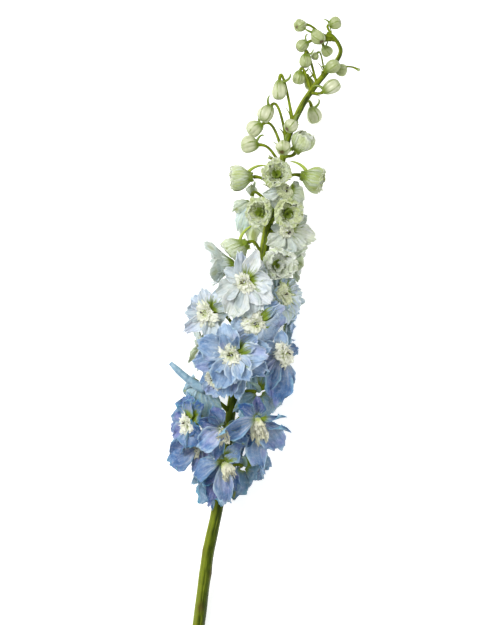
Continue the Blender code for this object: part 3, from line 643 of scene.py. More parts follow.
OPEN_HEADS = [
    Head("bloom_01", "back", -17.0, -104.0, 31, -50, -48, 25, 20.0, 0.9),
    Head("bloom_02", "back", -48.0, -114.0, 27, 232, -22, 0, 22.0, 0.95),
    Head("bloom_03", "brush", -34.0, -97.0, 60, -48, 30, 5, 25.0, 0.98),
    Head("bloom_04", "brush", -51.0, -84.0, 43, 212, 30, -10, 20.0, 0.95),
    Head("bloom_05", "brush", -33.0, -70.0, 68, 268, 52, 40, 22.0, 1.0),
    Head("bloom_06", "frill", -60.0, -67.0, 50, 178, 30, 20, 23.0, 0.8),
    Head("bloom_07", "brush", -6.0, -62.0, 60, -88, 39, -24, 26.0, 0.98),
    Head("bloom_08", "back", -51.0, -36.5, 43, 322, -20, 6, 23.0, 0.7, 0.25),
    Head("bloom_09", "back", -5.0, -43.0, 46, -20, -40, 35, 25.0, 0.72, 0.15),
    Head("bloom_10", "frill", -38.0, -29.0, 54, 212, 46, 30, 20.0, 0.62),
    Head("bloom_11", "frill", -26.0, -12.0, 72, 218, 78, 0, 29.0, 0.62),
    Head("bloom_12", "frill", 13.0, -11.0, 54, 8, 34, 15, 25.0, 0.7),
    Head("bloom_13", "side", -50.0, -4.0, 38, 172, -8, -24, 21.0, 0.22, 0.4),
    Head("bloom_14", "frill", -8.5, 13.0, 66, -40, 74, 25, 28.0, 0.62),
    Head("bloom_15", "side", 17.0, 10.0, 19, -12, -6, 20, 22.0, 0.6),
    Head("bloom_16", "frill", -44.0, 21.5, 52, 190, 40, -20, 24.0, 0.28),
    Head("bloom_17", "frill", 13.0, 35.0, 54, 10, 42, -15, 23.0, 0.42, 0.4),
    Head("bloom_18", "frill", -16.0, 45.5, 68, 205, 72, 10, 28.0, 0.2),
    Head("bloom_19", "frill", 17.0, 87.0, 50, -52, 56, 10, 21.0, 0.15, 0.15),
    Head("bloom_20", "back", -11.0, 113.0, 20, 256, -36, 0, 22.0, 0.18, 0.3),
    Head("bloom_21", "frill", 16.0, 118.0, 48, 30, 70, 20, 17.0, 0.1, 0.45),
    Head("under_1", "back", -56.0, -84.0, 12.5, 198, -14, 20, 18.0, 0.9),
    Head("under_2", "back", -22.0, -90.0, 12.5, -20, -14, 20, 18.0, 0.9),
    Head("under_3", "back", -46.0, -22.0, 12.5, 198, -14, 20, 18.0, 0.7),
    Head("under_4", "back", -8.0, -26.0, 12.5, -18, -14, 20, 18.0, 0.7),
    Head("under_5", "back", -14.0, 33.0, 12.5, 215, -20, 20, 19.0, 0.4),
]
print(len(OPEN_HEADS), "open heads")

# %% List the half-open heads and the buds
HALF_OPEN_HEADS = [
    Head("bell_1", "bell", -33.0, 60.0, 43, 184, -2, 0, 18.5, 0.19, 0.1),
    Head("bell_2", "bell", 22.0, 62.0, 38, -14, 0, 20, 15.0, 0.12, 0.3),
    Head("rosette_1", "rosette", 9.5, 58.5, 58, -10, 68, 0, 16.5, 0.07, 0.25),
    Head("rosette_2", "rosette", -3.0, 101.0, 55, 190, 68, 30, 13.5, 0.0, 0.55),
    Head("rosette_3", "rosette", 17.5, 99.5, 59, -10, 74, 0, 14.0, 0.0, 0.5),
    Head("rosette_4", "rosette", 9.5, 130.5, 53, 100, 80, 0, 13.5, 0.0, 0.5),
    Head("cup_1", "cup", -22.5, 71.5, 43, 212, 4, 15, 17.5, 0.05, 0.45),
    Head("cup_2", "cup", -18.0, 129.0, 42, 184, 6, 0, 15.0, 0.03, 0.45),
    Head("cup_3", "cup", 37.0, 128.5, 40, -16, 8, 0, 15.5, 0.03, 0.8),
    Head("cup_4", "cup", 28.5, 156.0, 42, 58, 18, 0, 14.5, 0.03, 0.45),
]

# a bud's age is its width against its length, and its green is 1 where its tip has dried brown
BUD_HEADS = [
    Head("bud_1", "bud", 14.5, 152.5, 48, 255, 48, 0, 7.0, 0.86, 1.0),
    Head("bud_2", "bud", 21.0, 170.0, 43, 216, 34, 0, 6.6, 0.86, 1.0),
    Head("bud_3", "bud", -12.5, 155.0, 38, 184, 4, 0, 8.2, 0.86),
    Head("bud_4", "bud", -8.0, 168.5, 31, 214, -6, 0, 7.8, 0.86),
    Head("bud_5", "bud", 1.0, 180.0, 43, 238, 12, 0, 8.4, 0.76),
    Head("bud_6", "bud", 11.0, 199.0, 38, 266, 4, 0, 9.2, 0.64, 1.0),
    Head("bud_7", "bud", 39.5, 181.5, 5.4, -78, -6, 0, 8.0, 0.76),
    Head("bud_8", "bud", 53.5, 201.5, 38, 28, 6, 0, 8.8, 0.66),
]
# the smallest buds at the tip, which belong to the stem's node
TIP_HEADS = [
    Head("tip_1", "bud", 28.5, 251.0, 36, 200, 44, 0, 5.8, 0.92, 1.0),
    Head("tip_2", "bud", 56.5, 253.0, 34, 10, 16, 0, 5.8, 0.9, 1.0),
    Head("tip_3", "bud", 49.5, 231.5, 27, -60, -10, 0, 5.4, 0.86),
    Head("tip_4", "bud", 27.0, 210.0, 30, 256, -6, 0, 6.6, 0.8),
    Head("tip_5", "bud", 35.5, 206.0, 22, 282, -14, 0, 6.0, 0.7),
    Head("tip_6", "bud", 40.0, 227.0, 33, 236, 20, 0, 3.6, 0.92, 1.0),
    Head("tip_7", "bud", 61.0, 215.5, 32, -20, -10, 0, 5.8, 0.86, 1.0),
    Head("tip_8", "bud", 75.0, 216.0, 33, -32, 0, 0, 1.6, 0.86, 1.0),
    Head("tip_9", "bud", 3.5, 145.0, 38, 160, 20, 0, 1.3, 0.86, 1.0),
    Head("tip_10", "bud", 54.0, 217.5, 42, 24, 26, 0, 7.4, 0.74),
    Head("tip_11", "bud", 32.0, 222.5, 40, 266, 12, 0, 6.6, 0.76, 1.0),
    Head("tip_12", "bud", 30.0, 234.5, 39, 214, 14, 0, 6.4, 0.76, 1.0),
    Head("tip_13", "bud", 42.5, 241.5, 41, -56, 34, 0, 7.6, 0.74, 1.0),
]
NEIGHBOURS = OPEN_HEADS + HALF_OPEN_HEADS + BUD_HEADS
print(len(HALF_OPEN_HEADS), "half open,", len(BUD_HEADS), "buds and", len(TIP_HEADS), "in the tip")

# %% [markdown]
# ## Room for each head
# Flowers crowd each other, and their petals press together without passing through. A cloth simulation could
# find how they lie. A slanted plane between each two heads does nearly the same in a moment. A petal that
# nears such a plane bends away softly, and so it does at the stem and at the table.

# %% Work out each head's axes
OPEN_KINDS = ("frill", "brush", "side", "back")
# how far an open flower's base lies behind its middle
OPEN_DEPTH = 4.5
# a cup's radius and length against its head's size, and how far its mouth closes
CUP_SHAPES = {"bell": (0.80, 1.2, 0.50), "cup": (0.66, 1.3, 0.70), "rosette": (0.86, 1.1, 0.76)}
# a head that faces along the stem has no clear way up by it, and takes the table's
LEAST_UP = 0.25


def middle_of(head):
    """The head's middle as a vector."""
    return np.array([head.x, head.y, head.z], float)


def axes_of(head):
    """The way the head faces, and its side and up ways. Up leans towards the stem's tip, then rolls."""
    turn = math.radians(head.turn)
    lift = math.radians(head.lift)
    face = np.array([math.cos(turn) * math.cos(lift), math.sin(turn) * math.cos(lift), math.sin(lift)])
    index, _ = nearest_on_stem(middle_of(head))
    way = STEM_WAY[index[0]]
    up = way - face * (way @ face)
    if np.linalg.norm(up) < LEAST_UP:
        up = np.array([0.0, 0.0, 1.0]) - face * face[2]
    up = unit(up)
    side = np.cross(up, face)
    roll = math.radians(head.roll)
    return face, side * math.cos(roll) + up * math.sin(roll), up * math.cos(roll) - side * math.sin(roll)


def radial_at(axes, angle):
    """The way out from a flower's middle at an angle round its face."""
    _, side, up = axes
    return side * math.cos(angle) + up * math.sin(angle)


def base_of(head):
    """Where the stalk meets the head."""
    face, _, _ = axes_of(head)
    if head.kind in OPEN_KINDS:
        depth = OPEN_DEPTH
    elif head.kind == "bud":
        depth = head.size
    else:
        depth = CUP_SHAPES[head.kind][1] * head.size / 2
    return middle_of(head) - face * depth


print("bloom_18 faces", axes_of(OPEN_HEADS[17])[0].round(2))

# %% Find the walls round each head
# how far petals stay off the planes and the table, and how early they begin to bend away from them
WALL = 0.3
TABLE_CLEAR = 0.3
NEIGHBOUR_SOFTNESS = 5.0
TABLE_SOFTNESS = 3.5
# heads this near to touching count as neighbours
NEAR_BY = 1.0
CUP_REACH = 1.05
# planes between open flowers lean, so that the upper one's sepals lie over the lower one's
OVERLAP_TILT = 55.0
LEAST_OUTWARD = 0.6
HEIGHT_RANK = 0.2
# no point is taken to be nearer to the stem's line than this
NEAREST = 0.01


def outward_of(head):
    """The way from the stem to the head, square to the stem."""
    index, _ = nearest_on_stem(middle_of(head))
    way = STEM_WAY[index[0]]
    apart = middle_of(head) - STEM_LINE[index[0]]
    return unit(apart - way * (apart @ way))


def over_rank(head):
    """Heads further out from the stem, and higher ones, lie over the others."""
    _, distance = nearest_on_stem(middle_of(head))
    return distance[0] + HEIGHT_RANK * head.z


def reach_of(head):
    """How far the head's petals reach from its middle."""
    return head.size if head.kind in OPEN_KINDS else head.size * CUP_REACH


def walls_for(head):
    """Planes between this head and its neighbours: a point on each and its inward normal."""
    walls = []
    middle = middle_of(head)
    for other in NEIGHBOURS:
        theirs = middle_of(other)
        apart = middle - theirs
        distance = np.linalg.norm(apart)
        if other.name == head.name or distance > reach_of(head) + reach_of(other) + NEAR_BY:
            continue
        point = theirs + apart * reach_of(other) / (reach_of(head) + reach_of(other))
        across = apart / distance
        outward = outward_of(head) + outward_of(other)
        outward = outward - across * (outward @ across)
        both_open = head.kind in OPEN_KINDS and other.kind in OPEN_KINDS
        if both_open and np.linalg.norm(outward) > LEAST_OUTWARD:
            tilt = math.radians(OVERLAP_TILT)
            side = 1 if over_rank(head) > over_rank(other) else -1
            walls.append((point, across * math.cos(tilt) + unit(outward) * math.sin(tilt) * side))
        else:
            walls.append((point, across))
    return walls


def pressed(depth, softness):
    """Depths inside a wall, bent smoothly so that none goes below zero."""
    if softness == 0:
        return np.maximum(depth, 0)
    bent = (np.maximum(depth + softness, 0)) ** 2 / (4 * softness)
    return np.where(depth >= softness, depth, bent)


def confined(points, walls, clear=WALL):
    """The points moved inside the head's own room, off the stem and above the table."""
    for softness in (NEIGHBOUR_SOFTNESS, 0, 0):
        for place, normal in walls:
            depth = (points - place) @ normal - clear
            points = points + np.outer(pressed(depth, softness) - depth, normal)
        index, distance = nearest_on_stem(points)
        push = np.maximum(STEM_RADIUS[index] + clear + WALL - distance, 0)
        away = points - STEM_LINE[index]
        points = points + away / np.maximum(distance, NEAREST)[:, None] * push[:, None]
        height = points[:, 2] - TABLE_CLEAR
        points[:, 2] = TABLE_CLEAR + pressed(height, TABLE_SOFTNESS if softness else 0)
    return points


print("bloom_18 has", len(walls_for(OPEN_HEADS[17])), "neighbours")

# %% [markdown]
# ## One sheet for every petal
# Every petal starts as the same flat grid, a sheet as wide as it is long. Shaping moves its points: the
# grid's width becomes the petal's width and its length the petal's length, so its map follows the petal.
# Each petal could be pulled into shape by hand, but hundreds of them need one sheet that is modelled once.

# %% Model the sheets
# how many faces each sheet has across and along
SHEET_GRIDS = {"sepal": (18, 20), "frill": (11, 9), "leaf": (4, 8)}


def select_only(*things):
    """Selects these objects and nothing else, with the first as the active one."""
    bpy.ops.object.select_all(action="DESELECT")
    for thing in things:
        thing.select_set(True)
    bpy.context.view_layer.objects.active = things[0]


def start_shape(name, add, **settings):
    """A primitive that pieces are copied from, kept out of the render."""
    bpy.ops.object.select_all(action="DESELECT")
    add(**settings)
    shape = bpy.context.object
    shape.name = name
    shape.hide_render = True
    return shape


def points_of(mesh):
    """The mesh's points as an array."""
    found = np.empty(len(mesh.vertices) * 3)
    mesh.vertices.foreach_get("co", found)
    return found.reshape(-1, 3)


def make_sheet(name, columns, rows):
    """A flat sheet, how far across each of its points is, from -1 to 1, and how far along, from 0 to 1."""
    add_grid = bpy.ops.mesh.primitive_grid_add
    sheet = start_shape("sheet_" + name, add_grid, x_subdivisions=columns, y_subdivisions=rows, size=2.0)
    points = points_of(sheet.data)
    return sheet, points[:, 0], (points[:, 1] + 1) / 2


SHEETS = {name: make_sheet(name, *grid) for name, grid in SHEET_GRIDS.items()}
print("points on the sheets:", {name: len(sheet[1]) for name, sheet in SHEETS.items()})

# %% [markdown]
# ## From sheets to a finished piece
# A flower's petals are joined into one piece and given a thickness last. The thickness could be modelled on
# each sheet, but a Solidify modifier on the whole piece keeps the sheets light while they are shaped. The
# petal's numbers travel with its points as two attributes, which the materials read.

# %% Define how a piece is finished
def place_points(mesh, points):
    """Moves the mesh's points to places in millimetres."""
    mesh.vertices.foreach_set("co", (points * MM).ravel())


def store(mesh, name, values):
    """Keeps a vector for each point of the mesh as an attribute, or the same one for all."""
    attribute = mesh.attributes.get(name) or mesh.attributes.new(name, "FLOAT_VECTOR", "POINT")
    full = np.broadcast_to(np.asarray(values, np.float32), (len(mesh.vertices), 3))
    attribute.data.foreach_set("vector", full.ravel())


def copy_of(start, name):
    """A copy of a start shape with its own mesh."""
    made = bpy.data.objects.new(name, start.data.copy())
    bpy.context.scene.collection.objects.link(made)
    return made


def petal_from(sheet_name, points, marks, spot=0.0, shade=1.0):
    """A petal from a sheet. Its marks are how blue and how green it is and how deep its throat."""
    petal = copy_of(SHEETS[sheet_name][0], "petal")
    place_points(petal.data, points)
    store(petal.data, "petal_marks", marks)
    store(petal.data, "petal_sides", (0.0, spot, shade))
    return petal


def thicken(piece, thickness):
    """Gives the joined sheets a wall. Their own points become its back, and the new ones its face."""
    count = len(piece.data.vertices)
    wall = piece.modifiers.new("Thickness", "SOLIDIFY")
    wall.thickness = thickness * MM
    wall.offset = 0
    bpy.ops.object.modifier_apply(modifier=wall.name)
    sides = np.empty((len(piece.data.vertices), 3), np.float32)
    piece.data.attributes["petal_sides"].data.foreach_get("vector", sides.ravel())
    sides[:count, 0] = 1.0
    store(piece.data, "petal_sides", sides)


def finished(name, pieces, material, thickness=0.0):
    """The pieces as one object: joined, thickened, smooth and coloured."""
    select_only(*pieces)
    bpy.ops.object.join()
    whole = bpy.context.object
    whole.name = name
    whole.data.name = name
    if thickness:
        thicken(whole, thickness)
    whole.data.shade_smooth()
    whole.data.materials.clear()
    whole.data.materials.append(material)
    return whole


def dress(piece, slot, *nodes):
    """Sets a finished piece on the frame, in place of the plain nodes that it stands for."""
    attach(piece, "root")
    if nodes:
        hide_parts(*nodes)


print("a piece keeps its marks in the attributes petal_marks and petal_sides")

# %% [markdown]
# ## The shape of a petal
# A petal has a narrow foot, a broad blade and a rounded tip. It rises from the flower's face and then bends
# over. Its blade is hollowed like a spoon and twists a little, so that each petal lies over the next, and
# its rim is wavy and crinkled. Sculpting one petal would give every flower the same one. A few numbers set
# all of that instead, and each petal draws its own.

# %% Draw the petal's outline
Petal = namedtuple(
    "Petal",
    "length width first last hollow twist wave crinkle point notch sway foot curl late blunt",
    defaults=[0.0, 0.0, 0.0, 2.4, 0.0, 0.8, 0.6],
)


def wave_starts(draw, count):
    """Where on its curve each wave of a petal starts."""
    return [draw.uniform(0, 6.28) for _ in range(count)]


def outline(along, foot=0.12, widest=0.56, blunt=0.6):
    """A petal's half width against its widest."""
    rising = foot + (1 - foot) * np.sin(np.pi / 2 * np.minimum(along / widest, 1)) ** 1.35
    past = np.maximum(along - widest, 0) / (1 - widest)
    return rising * np.sqrt(1 - blunt * past**2)


def petal_flat(across, along, petal, starts):
    """The petal laid flat: its half width at each point, and how far along its length the point lies."""
    half = petal.length * petal.width * outline(along, blunt=petal.blunt)
    half = half * (1 - 0.5 * petal.curl * np.abs(across) * along**2)
    reach = along - 0.24 * np.abs(across) ** 2.3 * along**4
    reach = reach + petal.point * np.exp(-((across / 0.2) ** 2)) * along**6
    reach = reach - petal.notch * np.exp(-((across / 0.13) ** 2)) * along**8
    frill = np.sin(8 * across + starts[0]) + 0.7 * np.sin(17 * across + starts[1])
    reach = reach + 0.015 * petal.crinkle * frill * along**6
    side_frill = np.sin(11 * along + starts[2] + np.sign(across)) + 0.6 * np.sin(24 * along + starts[3])
    half = half * (1 + 0.024 * petal.crinkle * side_frill * np.abs(across) ** 3)
    return half, reach


print("a petal's half width runs", outline(np.linspace(0, 1, 5)).round(2))

# %% Bend the petal
BEND_STEPS = 40
# the bend is worked out a little past the tip, because a crinkled rim reaches beyond it
BEND_REACH = 1.2
BEND_LAST = 1.1


def petal_bend(reach, petal):
    """The petal's middle line as it rises and bends over: distance out, height and slope."""
    steps = (np.arange(BEND_STEPS) + 0.5) / BEND_STEPS * BEND_REACH
    rise = np.radians(petal.first + (petal.last - petal.first) * np.minimum(steps, BEND_LAST) ** petal.late)
    bend_out = np.concatenate([[0], np.cumsum(np.cos(rise))]) * petal.length * BEND_REACH / BEND_STEPS
    bend_up = np.concatenate([[0], np.cumsum(np.sin(rise))]) * petal.length * BEND_REACH / BEND_STEPS
    knots = np.linspace(0, BEND_REACH, BEND_STEPS + 1)
    out = petal.foot + np.interp(reach, knots, bend_out)
    up = np.interp(reach, knots, bend_up)
    slope = np.interp(reach, knots[1:] - BEND_REACH / 2 / BEND_STEPS, rise)
    return out, up, slope


def petal_relief(across, along, petal, half, starts):
    """How far each point stands off the middle line: hollow, rolled rims, twist, creases and waves."""
    lift = petal.hollow * np.abs(across) ** 1.8 * half * 0.42
    lift = lift + petal.curl * np.abs(across) ** 2.6 * half * along * 1.3
    lift = lift + math.tan(math.radians(petal.twist)) * across * half * (0.3 + along)
    belly = np.sin(np.pi * along)
    for start in starts[:2]:
        line = math.sin(start) * 0.6 * (0.25 + along)
        crease = np.exp(-(((across - line) / 0.14) ** 2))
        lift = lift - 0.06 * petal.crinkle * half * crease * belly
    edge = np.abs(across) ** 2.2 * along
    wave = np.sin(7.5 * along + starts[4] + 2.2 * np.sign(across)) * edge
    wave = wave + 0.7 * np.sin(4.6 * across + starts[5]) * along**3
    lift = lift + petal.wave * petal.length * wave
    fine = np.sin(15 * across + starts[6]) * along**4 + np.sin(21 * along + starts[0]) * edge * 0.8
    quilt = 0.7 * np.sin(9 * across + starts[2]) * np.sin(7 * along + starts[3]) * belly
    return lift + 0.012 * petal.crinkle * petal.length * (fine + quilt)


def petal_shape(across, along, petal, draw):
    """Each point's distance out, distance across and height over the flower's face."""
    starts = wave_starts(draw, 7)
    half, reach = petal_flat(across, along, petal, starts)
    out, up, slope = petal_bend(reach, petal)
    lift = petal_relief(across, along, petal, half, starts)
    sway = petal.sway * petal.length * along**2
    return out - np.sin(slope) * lift, half * across + sway, up + np.cos(slope) * lift


def placed(head, axes, angle, start, shape, walls):
    """Shape points set round the head's middle at an angle, inside the head's room."""
    face, side, up = axes
    out, across, height = shape
    sideways = up * math.cos(angle) - side * math.sin(angle)
    points = middle_of(head) + np.outer(out, radial_at(axes, angle)) + np.outer(across, sideways)
    return confined(points + np.outer(height + start, face), walls)


print("a petal bends in", BEND_STEPS, "steps")

# %% [markdown]
# ## Tubes
# Spurs, stalks and hairs are thin and bend. A cylinder could be bent by its rings, but a curve with a round
# bevel and a radius at every point is quicker to shape. Turned into a mesh, it takes a map and marks as a
# petal does, so a spur wears the same finish as the sepals that it grows from.

# %% Define the tubes
# points of a tube nearer than this, in metres, are one
TUBE_WELD = 0.00001
TUBE_SIDES = (1.0, 0.0, 0.7)
SPUR_SPOT = (0.5, 0.45)


def edit_all(piece):
    """Opens a piece in edit mode with all of it selected."""
    select_only(piece)
    bpy.ops.object.mode_set(mode="EDIT")
    bpy.ops.mesh.select_all(action="SELECT")


def tubes(name, routes, roundness, marks=(0.0, 0.0, 0.0), spot=SPUR_SPOT):
    """One mesh of tapered tubes. Each route is a list of points and their radii, in millimetres."""
    curve = bpy.data.curves.new(name, "CURVE")
    curve.dimensions = "3D"
    curve.bevel_depth = MM
    curve.bevel_resolution = roundness
    curve.use_fill_caps = True
    for points, radii in routes:
        spline = curve.splines.new("POLY")
        spline.points.add(len(points) - 1)
        places = np.column_stack([np.array(points) * MM, np.ones(len(points))])
        spline.points.foreach_set("co", places.ravel())
        spline.points.foreach_set("radius", np.array(radii, float))
    line = bpy.data.objects.new(name, curve)
    bpy.context.scene.collection.objects.link(line)
    select_only(line)
    bpy.ops.object.convert(target="MESH")
    made = bpy.context.object
    edit_all(made)
    bpy.ops.mesh.remove_doubles(threshold=TUBE_WELD)
    bpy.ops.mesh.normals_make_consistent(inside=False)
    bpy.ops.object.mode_set(mode="OBJECT")
    layer = made.data.uv_layers.get("UVMap") or made.data.uv_layers.new(name="UVMap")
    layer.data.foreach_set("uv", np.tile(spot, len(made.data.loops)))
    store(made.data, "petal_marks", marks)
    store(made.data, "petal_sides", TUBE_SIDES)
    return made


print("tubes are welded at", TUBE_WELD / MM, "mm")

# %% [markdown]
# ## Spurs
# Behind every delphinium flower the top sepal runs back into a spur, a hollow tube that curves down at its
# end. Its line could be drawn for each flower. One rule from the head's size fits all but one, whose wide
# spur lies across the front of the spike.

# %% Define the spurs
OWN_SPURS = {"bloom_08": [(-48.0, -40.0, 46.0), (-59.0, -36.0, 48.0), (-75.5, -19.0, 45.0)]}
SPUR_POINTS = 12
SPUR_ROUNDNESS = 3
SPUR_RADII = (2.1, 1.6, 0.8)
WIDE_SPUR_RADII = (4.2, 3.1, 2.5)


def spur_route(head):
    """The spur's line, from the upper back of the head backwards and up, curving down at its end."""
    steps = np.linspace(0, 1, SPUR_POINTS)[:, None]
    if head.name in OWN_SPURS:
        first, middle, last = np.array(OWN_SPURS[head.name])
        return (1 - steps) ** 2 * first + 2 * (1 - steps) * steps * middle + steps**2 * last
    face, _, up = axes_of(head)
    if head.kind in OPEN_KINDS:
        start = middle_of(head) - face * 1.6 + up * 1.8
        length = head.size * 0.55
        lift = head.size * 0.2
    elif head.kind == "bud":
        start = base_of(head) + face * head.size * 0.24 + up * head.size * 0.3
        length = head.size * 0.8
        lift = head.size * 0.62
    else:
        start = base_of(head) + face * head.size * 0.3 + up * head.size * 0.28
        length = head.size * 0.95
        lift = head.size * 0.3
    rise = np.sin(steps * math.pi * 0.62)
    return start - face * length * steps**1.3 + up * lift * rise


def spur(head, marks, scale=1.0):
    """A spur that tapers to a rounded tip."""
    wide = head.name in OWN_SPURS
    radii = np.interp(np.linspace(0, 1, SPUR_POINTS), (0, 0.5, 1), WIDE_SPUR_RADII if wide else SPUR_RADII)
    radii = radii * scale
    radii[-1] *= 0.7 if wide else 0.45
    radii[-2] *= 0.85
    return tubes(head.name + "_spur", [(spur_route(head), radii)], SPUR_ROUNDNESS, marks)


print("spurs have", len(spur_route(OPEN_HEADS[0])), "points")

# %% [markdown]
# ## Open flowers
# An open flower has five broad sepals, each lying over the next one's edge, and a few shorter ones inside
# them. Rings of equal sepals make such a flower quickly. The flowers in front are not so regular: there each
# sepal's own fold and outline shows, so their sepals are posed one by one. A few of those leave the head's
# room on purpose, where they lie across a neighbour.

# %% Choose the looks of open flowers
# rings of petals: how many, length, width, first rise, last rise, hollow, curl
RINGS = {
    "frill": [(5, 1.06, 0.45, 22, -8, 0.4, 0.1), (5, 0.80, 0.38, 30, 0, 0.8, 0.3)],
    "brush": [(5, 1.08, 0.40, 24, -20, 0.6, 0.6), (4, 0.88, 0.34, 44, -4, 0.9, 0.8)],
    "side": [(5, 1.04, 0.44, 28, -8, 0.3, 0.2), (4, 0.8, 0.38, 46, 4, 0.6, 0.3)],
    "back": [(5, 1.1, 0.48, 20, -14, 0.3, 0.3), (4, 0.84, 0.4, 44, 4, 0.6, 0.3)],
}
# how much each kind waves, crinkles, ends in a point and is blunt, how unevenly its petals stand and how
# far they sag, and how much older or younger than the flower a petal may be
Look = namedtuple("Look", "wave crinkle point blunt jitter sag older younger")
LOOKS = {
    "frill": Look(0.07, 2.5, 0.05, 0.45, 9, 1.0, 0.12, 0.07),
    "brush": Look(0.09, 2.2, 0.08, 0.5, 17, 3.0, 0.06, 0.32),
    "side": Look(0.06, 2.2, 0.08, 0.5, 12, 2.0, 0.12, 0.14),
    "back": Look(0.07, 2.6, 0.08, 0.5, 12, 2.5, 0.12, 0.16),
}
print("looks for", list(LOOKS))

